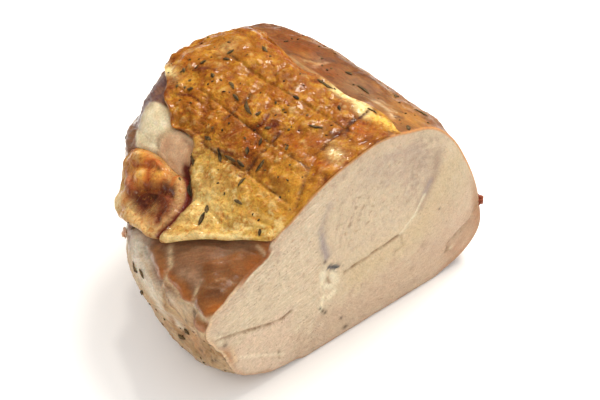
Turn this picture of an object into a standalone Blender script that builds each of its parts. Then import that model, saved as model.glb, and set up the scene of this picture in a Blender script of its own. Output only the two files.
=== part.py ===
"""Roast pork neck: one cut piece of a boned roast, lying on its flattened underside.

The piece is a blunt log. Its front is the knife cut, upright across the log; the far end is the
natural rounded end. A browned sheet of fat lies over the top and down the left flank, where its
edge lifts off the muscle as a lip. At the far left the sheet is torn: the tear shows pale fat and
bare muscle, and the loose tongue beside it has curled up and browned. Rosemary needles stick to
the roast. Everything is grown together, so it is one solid.

Frame: +Z up, the cut faces -Y, +X along the width of the cut. The origin is the middle of the
bounding box's underside.
"""

import math
import random

import bmesh
import bpy
from mathutils import Matrix, Vector, noise

MM = 0.001
NAME = "roast_pork_neck"

# ---- driving dimensions, in millimetres -------------------------------------------------------
LENGTH = 101.6  # along the log at the height of its axis
AXIS_HEIGHT = 40.0  # the log's axis above the table, at the cut
AXIS_RISE = 9.6  # how much higher the axis is at the far end
AXIS_DRIFT = 4.9  # how far the axis moves to the right at the far end
TOP_OVERREACH = 21.7  # the far end leans back: the top reaches this much further than the axis
RIGHT_OVERREACH = 6.4
END_BLUNTNESS = 4.76  # a higher value keeps the log full for longer before it rounds off
END_ROUNDNESS = 1.93
SECTION_HALF_WIDTH = 68.0  # the overreaches are stated at these distances from the axis
SECTION_HALF_HEIGHT = 45.0

# The outline of the cut, right side over the top to the left side and back along the underside,
# as (x, z) with x from the middle of the cut and z above the table.
CUT_OUTLINE = (
    (68.3, 29.4), (63.4, 45.2), (58.1, 56.4), (50.3, 69.4), (40.5, 78.8), (27.5, 83.6), (17, 86.4),
    (-2, 84.7), (-26.9, 74.4), (-43.5, 63.2), (-60.5, 56.1), (-68.5, 42), (-61.4, 27.2),
    (-58.2, 13), (-46.5, 5.4), (-28.1, 1.6), (11.6, 0.3), (49.3, 1.2), (68.8, 11),
)

# The knife cut the rim of the left flank straighter than the rest of the log: bearing in degrees
# and how far the rim stands out there. Behind the cut this runs out.
RIM_PUSHES = (
    (134, 0.0), (139, 1.2), (145, 0.8), (149, -0.3), (154, -1.9), (158, -3.2), (162, -3.6), (166, -4.0),
    (170, -3.0), (172, -1.0), (174, 1.0), (178, 1.8), (184, 2.2), (190, 2.2), (196, 1.0), (200, -0.3),
    (206, -1.0), (212, -1.2), (222, 0.0),
)
RIM_RUN_OUT = 12.0

# Swellings and hollows of the flanks: centre, reach, and the push at the centre.
SWELLINGS = (
    ((-58, 30, 14), 30.0, (-2.7, 0.0, -1.0)),  # lower left flank bellies out behind the cut
    ((48, 45, 72), 38.0, (1.0, 0.0, 1.4)),  # upper right shoulder
    ((-56, 68, 60), 24.0, (5.7, 0.0, 0.0)),  # hollow where the fat has drawn back
    ((-50, 78, 50), 18.0, (2.3, -0.9, 0.0)),
    ((-27, 90, 70), 20.0, (-3.3, 1.2, 2.5)),  # far top left
    ((-66, 42, 38), 22.0, (-4.5, 0.0, -0.9)),
    ((-64, 40, 24), 15.0, (-2.0, 0.0, -0.5)),
    ((62, 14, 60), 24.0, (1.1, 0.0, 0.8)),
    ((12, 102, 84), 20.0, (0.0, -1.0, -1.5)),
)
SWELLING_RUN_IN = 12.0  # swellings start from nothing at the cut and are full this far behind it

SAG_FLAT = 7.0  # what would hang lower than this has settled flat on the table
SAG_BLEND = 20.0  # from here up the shape isn't changed by the settling
SAG_RUN_IN = 22.0  # the cut's own outline isn't settled; this far behind it, all of it is
FLAT_TOLERANCE = 0.05  # anything this close to the table lies on it

# ---- the skin's relief ------------------------------------------------------------------------
LUMP_SIZE, LUMP_HEIGHT = 17.0, 1.3
WRINKLE_SIZE, WRINKLE_HEIGHT = 6.0, 0.8
CUT_DOME, DOME_REACH = 0.7, 14.0  # each muscle stands a little proud of the seams round it
CUT_FADE = (0.9, 1.0)  # shares of the way to the rim over which the cut's relief runs out
SKIN_FADE = (0.0, 0.06)  # stations over which the skin's relief starts, and the ones where it ends
POLE_FADE = (0.985, 1.0)
SEAM_WIDTH, SEAM_DEPTH = 2.2, 1.1

# Seams between the muscles in the cut, as (x, z) on the cut.
CUT_SEAMS = (
    ((-12, 34), (0, 32.8), (12, 34.3), (24, 35.3), (32, 38.7), (38, 46), (42.6, 53), (43, 62)),
    ((-65, 35.6), (-55, 33.6), (-44, 30.4), (-30, 29)),
    ((-10.4, 71.6), (-15.2, 63.8), (-14.6, 52.5), (-13, 44)),
    ((51, 12), (58, 17.6), (66, 26.6)),
)
FAT_POCKET_CENTRE, FAT_POCKET_REACH, FAT_POCKET_DEPTH = (-10.5, 34.5), 5.5, 1.9

# A place on the log is (station, bearing): a station runs from 0 at the cut to 1 at the far end,
# and a bearing is the angle round the axis in degrees, 0 to the right and 90 on top.
# Furrows between the muscles of the left flank.
FLANK_FURROWS = (
    ((0.125, 167.2), (0.121, 171), (0.113, 174.3), (0.097, 174.9), (0.032, 174.9), (0, 173.3)),
    ((0.263, 168), (0.263, 171.7), (0.204, 173), (0.163, 175), (0.114, 174.4)),
    ((0.096, 175.5), (0.094, 178), (0.096, 180.2), (0.051, 181.8), (0, 178.2)),
    ((0.094, 178.7), (0.119, 185.9), (0.122, 193.3), (0.084, 198.2), (0.0, 199)),
    ((0.43, 170.8), (0.36, 171.2), (0.29, 172.9), (0.255, 175.4), (0.227, 179.7), (0.194, 180.7),
     (0.143, 181.7)),
)
FURROW_WIDTH, FURROW_DEPTH = 2.6, 0.8
FURROW_BEARINGS = (140.0, 200.0)

# Soft mounds of bare fat and muscle inside the tear: place, reach, height.
MOUNDS = (
    ((0.71, 144), 12.0, 1.3),
    ((0.55, 144), 8.0, 1.5),
    ((0.80, 128), 9.0, 0.6),
)

# ---- sheets of fat, outlines as places ---------------------------------------------------------
CAP_MIDDLE = (0.30, 112)
CAP_OUTLINE = (
    (-0.05, 67), (0.03, 62), (0.08, 59.5), (0.16, 60), (0.23, 65), (0.34, 65), (0.40, 69),
    (0.49, 67), (0.62, 62), (0.68, 58), (0.78, 62), (0.87, 76), (0.89, 96), (0.86, 111),
    (0.79, 117), (0.73, 121), (0.70, 128), (0.65, 131.5), (0.61, 137), (0.57, 135), (0.51, 134),
    (0.48, 137), (0.468, 142), (0.470, 147), (0.443, 149), (0.416, 151.5), (0.381, 154),
    (0.363, 157), (0.362, 160), (0.359, 163), (0.350, 165.4), (0.324, 165), (0.27, 162),
    (0.197, 158), (0.135, 155), (0.076, 150), (0.007, 145), (-0.05, 140), (-0.06, 120), (-0.06, 95),
)
TONGUE_MIDDLE = (0.56, 163)
TONGUE_OUTLINE = (
    (0.462, 149.9), (0.44, 150.4), (0.416, 152), (0.385, 154.5), (0.364, 157.5), (0.358, 161),
    (0.362, 165.1), (0.405, 167.2), (0.467, 168.5), (0.537, 171), (0.613, 174), (0.66, 176.5),
    (0.715, 178), (0.76, 175), (0.78, 170), (0.79, 164), (0.765, 160.5), (0.728, 158),
    (0.686, 156), (0.62, 154), (0.55, 153.2), (0.50, 152),
)
CREASE = ((0.474, 147.4), (0.443, 149), (0.416, 151), (0.381, 154), (0.363, 157), (0.36, 160), (0.371, 163))

# Folds pressed into a sheet: places along it, width, height; a negative height is a crease.
NET_MARKS = (
    (((0.02, 126), (0.09, 102), (0.11, 81), (0.14, 66)), 2.4, -0.9),
    (((0.25, 132), (0.24, 112), (0.24, 96), (0.27, 70)), 2.4, -0.9),
    (((0.46, 132), (0.43, 108), (0.43, 82), (0.45, 68)), 2.4, -0.9),
    (((0.45, 132), (0.29, 129), (0.175, 128), (0.03, 127)), 2.4, -0.9),
    (((0.60, 112), (0.43, 111), (0.19, 110), (0.01, 107)), 2.4, -0.9),
    (((0.62, 87), (0.43, 87), (0.29, 84), (0.02, 80)), 2.4, -0.9),
)
TONGUE_FOLDS = (
    (((0.70, 160.9), (0.68, 160.9)), 8.0, 2.0),  # three browned knobs
    (((0.643, 162.8), (0.62, 162.1)), 8.0, 1.8),
    (((0.548, 159.6), (0.543, 158.7)), 7.0, 1.5),
    (((0.643, 159.0), (0.614, 157.2), (0.58, 156.2)), 4.0, 1.3),
    (((0.74, 167.4), (0.69, 168.4), (0.638, 168.0)), 4.5, 1.5),  # ridges round the knobs
    (((0.674, 173.4), (0.705, 174.8)), 8.0, 1.7),
    (((0.454, 158.8), (0.41, 159.1), (0.394, 160.2)), 4.0, 0.9),
    (((0.458, 151.8), (0.421, 155.2), (0.382, 157.6), (0.37, 160.7), (0.374, 163.6)), 5.5, 1.1),
    (((0.60, 167.4), (0.595, 165.1), (0.563, 162.2), (0.52, 160.1), (0.484, 158.8), (0.45, 158.0)),
     4.0, -1.8),  # the deep crease, the hollow beside it and the small creases
    (((0.485, 162.4), (0.455, 161.0)), 13.0, -1.2),
    (((0.43, 162.7), (0.397, 163.7)), 3.5, -0.9),
    (((0.702, 163.8), (0.655, 161.2), (0.61, 159.5)), 2.8, -0.9),
    (((0.605, 160.5), (0.574, 161.9)), 2.8, -0.9),
)

CAP = {"thick": 2.3, "thick_at_cut": 0.8, "lift": 1.0, "lump": 1.4, "lifted_from": (100, 128)}
TONGUE = {"thick": 2.4, "thick_at_cut": 2.4, "lift": 1.0, "lump": 1.2, "lifted_from": (163, 167.5)}
THIN_SIDE, THIN_SHARE = (62.0, 95.0), 0.4  # over these bearings the cap grows from thin to full
SHEET_SINK = 1.8  # how deep a sheet's inner side lies in the muscle
EDGE_REACH = 5.0  # a sheet's edge stands off the muscle for this far in from the edge
CUT_TAPER = 16.0  # the cap thins towards the cut over this distance
CUT_SETBACK = 0.3  # the fat has shrunk back from the plane of the cut
UNDER_SHEET = 0.4  # the muscle is pressed this far down under a sheet
COVER_FADE = (-1.5, 0.5)  # from outside a sheet's edge to inside it, over which that starts
SHEET_LUMPS, SHEET_WRINKLES = 9.0, 4.0  # sizes of a sheet's relief
WRINKLE_SHARE = 0.4

SCRAP = {"at": (0.02, -11.0), "size": (5.0, 4.4, 4.0)}  # a browned scrap at the right of the cut

# ---- rosemary --------------------------------------------------------------------------------
NEEDLE_WIDTH, NEEDLE_SIDES, NEEDLE_SINK = 1.5, 5, 0.25
# The bold needles: station, bearing, turn from the log's direction in degrees, length.
BOLD_NEEDLES = (
    (0.400, 104.3, 156, 8.4), (0.168, 90.6, 37, 5.6), (0.300, 68.9, 9, 8.5), (0.132, 62.6, 24, 4.6),
    (0.246, 53.3, 12, 6.3), (0.094, 39.8, 32, 5.7), (0.191, 42.5, 138, 3.6), (0.333, 51.6, 22, 3.6),
    (0.215, 121.7, 92, 5.8), (0.232, 133.3, 100, 4.8), (0.197, 141.0, 9, 4.8),
    (0.276, 155.3, 115, 5.5), (0.414, 151.9, 154, 7.7), (0.448, 128.5, 12, 4.2),
    (0.327, 128.3, 10, 6.4), (0.465, 141.0, 148, 7.2), (0.463, 103.5, 176, 3.8),
    (0.504, 100.2, 167, 4.5), (0.552, 73.3, 162, 6.0), (0.627, 85.0, 100, 4.2),
    (0.385, 175.5, 165, 4.9), (0.440, 178.5, 1, 6.5), (0.276, 198.3, 167, 4.0),
    (0.231, 193.8, 138, 3.8), (0.088, 144.9, 135, 4.0), (0.372, 138.0, 150, 6.5),
)
SPARE_NEEDLES = 26
SPARE_STATIONS, SPARE_BEARINGS, SPARE_LENGTHS = (0.06, 0.86), (-40.0, 205.0), (3.5, 7.0)
NEEDLE_SPACING = 9.0
SEED = 11

# ---- mesh density ------------------------------------------------------------------------------
BODY_SEGMENTS, BODY_RINGS, CUT_RINGS = 220, 150, 44
CAP_MESH = (260, 130)  # segments round the outline, rings over both sides
TONGUE_MESH = (160, 100)
EDGE_RINGS = 4  # rings on each side of a sheet's edge that make its round
BODY_TRIANGLES, CAP_TRIANGLES, TONGUE_TRIANGLES, SCRAP_TRIANGLES = 5000, 3000, 1500, 80

ROAST_COLOUR, ROAST_ROUGHNESS = (0.42, 0.25, 0.13, 1.0), 0.45


# ---- the log's form ---------------------------------------------------------------------------
def smooth(value, low, high):
    """0 below low, 1 above high, and a smooth step between."""
    share = min(1.0, max(0.0, (value - low) / (high - low)))
    return share * share * (3.0 - 2.0 * share)


def catmull(before, start, end, after, share):
    """A point on the smooth curve from start to end, for numbers or vectors."""
    return 0.5 * (
        2.0 * start
        + (end - before) * share
        + (2.0 * before - 5.0 * start + 4.0 * end - after) * share**2
        + (3.0 * start - before - 3.0 * end + after) * share**3
    )


def outline_by_bearing():
    """The cut's outline as (bearing, distance from the axis), sorted by bearing."""
    polar = [(math.atan2(z - AXIS_HEIGHT, x), math.hypot(x, z - AXIS_HEIGHT)) for x, z in CUT_OUTLINE]
    return sorted(polar)


OUTLINE = outline_by_bearing()


def section_radius(bearing):
    """Distance from the axis to the cut's outline at a bearing in radians."""
    bearing = (bearing - OUTLINE[0][0]) % math.tau + OUTLINE[0][0]
    count = len(OUTLINE)
    index = max(i for i in range(count) if OUTLINE[i][0] <= bearing)
    start = OUTLINE[index][0]
    end = OUTLINE[(index + 1) % count][0] + (math.tau if index + 1 == count else 0.0)
    radii = [OUTLINE[(index + step) % count][1] for step in (-1, 0, 1, 2)]
    return catmull(*radii, (bearing - start) / (end - start))


def rim_push(bearing):
    """How far the cut's rim stands out of the outline at a bearing in degrees."""
    turned = bearing % 360.0
    for (start, low), (end, high) in zip(RIM_PUSHES, RIM_PUSHES[1:]):
        if start <= turned < end:
            return low + (high - low) * (turned - start) / (end - start)
    return 0.0


def settle(point):
    """Flattens the underside where the roast's weight presses it on the table."""
    flat = SAG_FLAT * smooth(point.y, 0.0, SAG_RUN_IN)
    if point.z < SAG_BLEND:
        point.z = max(0.0, (point.z - flat) * SAG_BLEND / (SAG_BLEND - flat))
    return point


def on_log(station, bearing):
    """The point of the log's surface at a station and a bearing in degrees, in millimetres."""
    angle = math.radians(bearing)
    radius = section_radius(angle) + rim_push(bearing) * (1.0 - smooth(station * LENGTH, 0.0, RIM_RUN_OUT))
    run = max(0.0, station)
    fullness = max(0.0, 1.0 - run**END_BLUNTNESS) ** (1.0 / END_ROUNDNESS)
    across, up = fullness * radius * math.cos(angle), fullness * radius * math.sin(angle)
    reach = LENGTH + RIGHT_OVERREACH * across / SECTION_HALF_WIDTH
    reach += TOP_OVERREACH * up / SECTION_HALF_HEIGHT
    point = Vector((
        AXIS_DRIFT * run**2 + across,
        station * reach,
        AXIS_HEIGHT + AXIS_RISE * run**2 + up,
    ))
    moved = point.copy()
    for centre, size, push in SWELLINGS:
        weight = math.exp(-((point - Vector(centre)).length / size) ** 2)
        moved += Vector(push) * weight * min(1.0, max(0.0, point.y / SWELLING_RUN_IN))
    return settle(moved)


def facing(station, bearing):
    """The surface's outward direction at a station and a bearing."""
    along = on_log(station + 0.01, bearing) - on_log(station - 0.01, bearing)
    round_it = on_log(station, bearing + 1.5) - on_log(station, bearing - 1.5)
    return along.cross(round_it).normalized()


def distance_to_line(point, line):
    """Distance from a point to a polyline, for 2D or 3D vectors."""
    best = 1e9
    for start, end in zip(line, line[1:]):
        run = end - start
        share = min(1.0, max(0.0, (point - start).dot(run) / run.length_squared))
        best = min(best, (start + run * share - point).length)
    return best


def chart(place):
    """The log's skin laid flat, in steps of about a millimetre."""
    return Vector((place[0] * 100.0, place[1]))


def depth_inside(point, corners):
    """Depth of a point inside a closed outline; negative outside."""
    inside = False
    for start, end in zip(corners, corners[1:] + corners[:1]):
        if (start.y > point.y) != (end.y > point.y):
            if point.x < (end.x - start.x) * (point.y - start.y) / (end.y - start.y) + start.x:
                inside = not inside
    depth = distance_to_line(point, corners + corners[:1])
    return depth if inside else -depth


def groove(distance, width, depth):
    return depth * math.exp(-((2.0 * distance / width) ** 2))


def uneven(point, size, height, seed=0.0):
    """Smooth irregular relief of about the stated size and height."""
    return height * noise.noise(point / size + Vector((seed, seed, seed)))


# ---- meshes -----------------------------------------------------------------------------------
def turn_outward(bm):
    bm.normal_update()
    bmesh.ops.recalc_face_normals(bm, faces=bm.faces)


def mesh_object(name, bm, collection):
    mesh = bpy.data.meshes.new(name)
    bm.to_mesh(mesh)
    bm.free()
    obj = bpy.data.objects.new(name, mesh)
    collection.objects.link(obj)
    return obj


def apply_modifiers(obj):
    graph = bpy.context.evaluated_depsgraph_get()
    mesh = bpy.data.meshes.new_from_object(obj.evaluated_get(graph))
    obj.modifiers.clear()
    obj.data = mesh


def thin_out(obj, triangles):
    """Collapses the flatter faces until about the stated number of triangles is left."""
    bpy.context.view_layer.update()
    obj.data.calc_loop_triangles()
    decimate = obj.modifiers.new("thin_out", "DECIMATE")
    decimate.ratio = min(1.0, triangles / len(obj.data.loop_triangles))
    apply_modifiers(obj)


def ring_angles(bm, segments, rings):
    """The primitive's vertices with (vertex, ring share from 0 to 1, angle in degrees)."""
    for vertex in bm.verts:
        direction = vertex.co.normalized()
        ring = math.acos(max(-1.0, min(1.0, direction.z))) / math.pi
        angle = math.degrees(math.atan2(direction.y, direction.x))
        yield vertex, round(ring * rings) / rings, round(angle * segments / 360.0) * 360.0 / segments


def cut_relief(x, z):
    """How far the meat stands out of the cut's plane, in millimetres."""
    place = Vector((x, z))
    seams = [[Vector(corner) for corner in seam] for seam in CUT_SEAMS]
    nearest = min(distance_to_line(place, seam) for seam in seams)
    dome = CUT_DOME * smooth(nearest, 0.0, DOME_REACH)
    pocket = (place - Vector(FAT_POCKET_CENTRE)).length
    hollow = FAT_POCKET_DEPTH * math.exp(-((pocket / FAT_POCKET_REACH) ** 2))
    return dome - groove(nearest, SEAM_WIDTH, SEAM_DEPTH) - hollow


def make_body(collection):
    """The muscle: a sphere whose front third is spread over the cut and the rest along the log."""
    bm = bmesh.new()
    bmesh.ops.create_uvsphere(bm, u_segments=BODY_SEGMENTS, v_segments=BODY_RINGS, radius=1.0)
    cut_share = CUT_RINGS / BODY_RINGS
    furrows = [[on_log(*place) for place in line] for line in FLANK_FURROWS]
    mounds = [(on_log(*place), reach, height) for place, reach, height in MOUNDS]
    sheets = [[chart(place) for place in outline] for outline in (CAP_OUTLINE, TONGUE_OUTLINE)]
    for vertex, ring, bearing in ring_angles(bm, BODY_SEGMENTS, BODY_RINGS):
        if ring <= cut_share:
            rim = on_log(0.0, bearing)
            share = ring / cut_share
            x, z = rim.x * share, AXIS_HEIGHT + (rim.z - AXIS_HEIGHT) * share
            fade = 1.0 - smooth(share, *CUT_FADE)
            vertex.co = Vector((x, -cut_relief(x, z) * fade, z))
            continue
        station = math.sin(math.pi / 2 * (ring - cut_share) / (1.0 - cut_share))
        base = on_log(station, bearing)
        fade = smooth(station, *SKIN_FADE) * (1.0 - smooth(station, *POLE_FADE))
        relief = uneven(base, LUMP_SIZE, LUMP_HEIGHT) + uneven(base, WRINKLE_SIZE, WRINKLE_HEIGHT)
        if FURROW_BEARINGS[0] < bearing % 360.0 < FURROW_BEARINGS[1]:
            nearest = min(distance_to_line(base, line) for line in furrows)
            relief -= groove(nearest, FURROW_WIDTH, FURROW_DEPTH)
        for centre, reach, height in mounds:
            relief += groove((base - centre).length, 2.0 * reach, height)
        place = chart((station, bearing % 360.0))
        covered = smooth(max(depth_inside(place, sheet) for sheet in sheets), *COVER_FADE)
        relief -= (relief + UNDER_SHEET) * covered
        outward = facing(station, bearing) if fade > 0.0 else Vector()
        vertex.co = base + outward * relief * fade
        if base.z <= 0.0:
            vertex.co.z = 0.0
        vertex.co.z = max(0.0, vertex.co.z)
    turn_outward(bm)
    body = mesh_object(NAME, bm, collection)
    thin_out(body, BODY_TRIANGLES)
    return body


def closed_outline(corners, angle):
    """Station and bearing on a sheet's outline, at an angle in degrees round the outline."""
    count = len(corners)
    place = (angle % 360.0) / 360.0 * count
    index = int(place)
    near = [Vector(corners[(index + step) % count]) for step in (-1, 0, 1, 2)]
    return catmull(*near, place - index)


def sheet_thickness(sheet, place):
    """Thin at the cut and, for the cap, on the side where the fat runs out over the muscle."""
    point = on_log(*place)
    thick = sheet["thick_at_cut"]
    thick += (sheet["thick"] - thick) * smooth(point.y, 0.0, CUT_TAPER)
    return thick * (THIN_SHARE + (1.0 - THIN_SHARE) * smooth(place[1], *THIN_SIDE))


def fold_relief(base, folds):
    """Height of the folds at a point: the boldest ridge and the boldest crease near it."""
    heights = [groove(distance_to_line(base, line), width, height) for line, width, height in folds]
    return max([0.0] + heights) + min([0.0] + heights)


def make_sheet(name, middle, outline, sheet, folds, mesh, collection):
    """A sheet of fat lying on the log, with a rounded edge that can stand off the muscle."""
    segments, rings = mesh
    bm = bmesh.new()
    bmesh.ops.create_uvsphere(bm, u_segments=segments, v_segments=rings, radius=1.0)
    centre = Vector(middle)
    folds = [([on_log(*place) for place in line], width, height) for line, width, height in folds]
    crease = [on_log(*place) for place in CREASE]
    edge_share = EDGE_RINGS / rings
    for vertex, ring, angle in ring_angles(bm, segments, rings):
        side = 1.0 if ring <= 0.5 else -1.0
        inward = abs(ring - 0.5)  # 0 at the edge, 0.5 at the sheet's middle
        edge = closed_outline(outline, angle)
        rim = on_log(*edge)
        span = (rim - on_log(*centre)).length
        rim_thick = sheet_thickness(sheet, edge)
        nose = 0.5 * rim_thick / span
        lifted = smooth(edge.y, *sheet["lifted_from"]) * smooth(distance_to_line(rim, crease), 1.0, 5.0)
        nose_height = lifted * (0.5 * rim_thick + sheet["lift"]) - (1.0 - lifted) * 0.15 * rim_thick
        if inward < edge_share:
            turn = math.pi / 2 * inward / edge_share
            share = 1.0 - nose + nose * math.cos(turn)
            height = nose_height + 0.5 * rim_thick * math.sin(turn) * side
        else:
            share = (1.0 - nose) * (0.5 - inward) / (0.5 - edge_share)
            height = nose_height + 0.5 * rim_thick * side
        place = centre + (edge - centre) * share
        base = on_log(*place)
        from_edge = (1.0 - share) * span
        if side > 0.0:
            full = sheet_thickness(sheet, place)
            height += (full - height) * smooth(from_edge, 0.5 * rim_thick, EDGE_REACH)
            relief = uneven(base, SHEET_LUMPS, sheet["lump"], 3.0)
            relief += uneven(base, SHEET_WRINKLES, WRINKLE_SHARE * sheet["lump"], 7.0)
            relief += fold_relief(base, folds)
            height += relief * smooth(from_edge, 0.0, 0.5 * EDGE_REACH)
        else:
            height -= (SHEET_SINK + height) * smooth(from_edge, 0.3 * EDGE_REACH, EDGE_REACH)
        vertex.co = base + facing(*place) * height
    turn_outward(bm)
    return mesh_object(name, bm, collection)


def trim_at_cut(obj):
    """Cuts a sheet off just behind the plane of the cut, and closes it."""
    bm = bmesh.new()
    bm.from_mesh(obj.data)
    geometry = list(bm.verts) + list(bm.edges) + list(bm.faces)
    cut = bmesh.ops.bisect_plane(
        bm, geom=geometry, plane_co=(0, CUT_SETBACK, 0), plane_no=(0, -1, 0), clear_outer=True
    )
    edges = [item for item in cut["geom_cut"] if isinstance(item, bmesh.types.BMEdge)]
    bmesh.ops.edgeloop_fill(bm, edges=edges)
    bmesh.ops.triangulate(bm, faces=bm.faces)
    turn_outward(bm)
    bm.to_mesh(obj.data)
    bm.free()


def frame_on(station, bearing, turn=0.0):
    """A placement on the surface: local X along the surface, turned, and local Z outward."""
    outward = facing(station, bearing)
    along = on_log(station + 0.01, bearing) - on_log(station - 0.01, bearing)
    along = (along - outward * along.dot(outward)).normalized()
    sideways = outward.cross(along)
    basis = Matrix((along, sideways, outward)).transposed().to_4x4()
    return Matrix.Translation(on_log(station, bearing)) @ basis @ Matrix.Rotation(math.radians(turn), 4, "Z")


def make_lump(name, at, size, collection):
    """A browned scrap: a small irregular ball, half sunk in what it sits on."""
    bm = bmesh.new()
    bmesh.ops.create_icosphere(bm, subdivisions=3, radius=0.5)
    shift = on_log(*at)
    for vertex in bm.verts:
        vertex.co *= 1.0 + noise.noise(vertex.co * 3.0 + shift) * 0.5
    bmesh.ops.scale(bm, vec=size, verts=bm.verts)
    bmesh.ops.transform(bm, matrix=frame_on(*at) @ Matrix.Translation((0, 0, 0.2 * size[2])), verts=bm.verts)
    lump = mesh_object(name, bm, collection)
    thin_out(lump, SCRAP_TRIANGLES)
    return lump


def surface_height(station, bearing, top):
    """How far the roast's finished surface stands over the bare log at a place."""
    outward = facing(station, bearing)
    base = on_log(station, bearing)
    hit, location, _, _ = top.ray_cast(base + outward * 12.0, -outward, distance=16.0)
    return (location - base).dot(outward) if hit else 0.0


def make_needle(name, place, top, collection):
    """A rosemary needle lying on the surface: a thin tapered stick, a little sunk."""
    station, bearing, turn, length = place
    height = surface_height(station, bearing, top)
    bm = bmesh.new()
    bmesh.ops.create_cone(
        bm, cap_ends=True, segments=NEEDLE_SIDES,
        radius1=0.5 * NEEDLE_WIDTH, radius2=0.25 * NEEDLE_WIDTH, depth=length,
    )
    bmesh.ops.rotate(bm, matrix=Matrix.Rotation(math.pi / 2, 3, "Y"), verts=bm.verts)
    lift = Matrix.Translation((0, 0, height + 0.5 * NEEDLE_WIDTH - NEEDLE_SINK))
    bmesh.ops.transform(bm, matrix=frame_on(station, bearing, turn) @ lift, verts=bm.verts)
    return mesh_object(name, bm, collection)


def needle_places():
    """The bold needles, then spare ones scattered by a seeded draw, none close to another."""
    draw = random.Random(SEED)
    places = list(BOLD_NEEDLES)
    while len(places) < len(BOLD_NEEDLES) + SPARE_NEEDLES:
        place = (
            draw.uniform(*SPARE_STATIONS), draw.uniform(*SPARE_BEARINGS),
            draw.uniform(0.0, 180.0), draw.uniform(*SPARE_LENGTHS),
        )
        spot = on_log(*place[:2])
        clear = all((on_log(*other[:2]) - spot).length > NEEDLE_SPACING for other in places)
        if clear and spot.z > 8.0:
            places.append(place)
    return places


def unite(body, collection):
    """One Boolean union of the body with everything in a collection, which is then removed."""
    union = body.modifiers.new("grown_together", "BOOLEAN")
    union.operation = "UNION"
    union.operand_type = "COLLECTION"
    union.collection = collection
    union.solver = "EXACT"
    apply_modifiers(body)
    for obj in list(collection.objects):
        bpy.data.objects.remove(obj)
    bpy.data.collections.remove(collection)


def new_collection(name):
    collection = bpy.data.collections.new(name)
    bpy.context.scene.collection.children.link(collection)
    return collection


def roast_material():
    made = bpy.data.materials.new("roast_meat")
    made.use_nodes = True
    shader = made.node_tree.nodes["Principled BSDF"]
    shader.inputs["Base Color"].default_value = ROAST_COLOUR
    shader.inputs["Roughness"].default_value = ROAST_ROUGHNESS
    shader.inputs["Metallic"].default_value = 0.0
    made.diffuse_color = ROAST_COLOUR
    return made


def keep_largest_body(obj):
    """Drops any loose scrap that the union may have left beside the roast."""
    bm = bmesh.new()
    bm.from_mesh(obj.data)
    left, groups = set(bm.verts), []
    while left:
        group, front = set(), [left.pop()]
        while front:
            vertex = front.pop()
            group.add(vertex)
            near = {edge.other_vert(vertex) for edge in vertex.link_edges} & left
            left -= near
            front.extend(near)
        groups.append(group)
    groups.sort(key=len)
    for group in groups[:-1]:
        bmesh.ops.delete(bm, geom=list(group), context="VERTS")
    bm.to_mesh(obj.data)
    bm.free()
    return len(groups) - 1


def centre_and_scale(obj):
    """Puts the origin at the middle of the underside, and goes from millimetres to metres."""
    for vertex in obj.data.vertices:
        if vertex.co.z < FLAT_TOLERANCE:
            vertex.co.z = 0.0
    low = Vector(min(vertex.co[axis] for vertex in obj.data.vertices) for axis in range(3))
    high = Vector(max(vertex.co[axis] for vertex in obj.data.vertices) for axis in range(3))
    middle = Vector(((low.x + high.x) / 2, (low.y + high.y) / 2, low.z))
    obj.data.transform(Matrix.Scale(MM, 4) @ Matrix.Translation(-middle))
    print("origin from the cut's foot, mm:", [round(value, 3) for value in middle])
    print("size, mm:", [round(value, 1) for value in high - low])


def main():
    for obj in list(bpy.data.objects):
        bpy.data.objects.remove(obj)
    roast = new_collection("roast_pork_neck_parts")
    grown = new_collection("fat_and_curls")
    body = make_body(roast)
    cap = make_sheet("fat_cap", CAP_MIDDLE, CAP_OUTLINE, CAP, NET_MARKS, CAP_MESH, grown)
    thin_out(cap, CAP_TRIANGLES)
    trim_at_cut(cap)
    tongue = make_sheet("tongue", TONGUE_MIDDLE, TONGUE_OUTLINE, TONGUE, TONGUE_FOLDS, TONGUE_MESH, grown)
    thin_out(tongue, TONGUE_TRIANGLES)
    make_lump("scrap", SCRAP["at"], SCRAP["size"], grown)
    unite(body, grown)
    bpy.context.view_layer.update()
    needles = new_collection("needles")
    for index, place in enumerate(needle_places()):
        make_needle(f"needle_{index}", place, body, needles)
    unite(body, needles)
    scraps = keep_largest_body(body)
    print("loose scraps dropped:", scraps)
    centre_and_scale(body)
    body.data.materials.append(roast_material())


main()
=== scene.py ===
import math
import random

import bmesh
import bpy
import numpy as np
from mathutils import Matrix, Vector, noise
from mathutils.bvhtree import BVHTree


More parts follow.
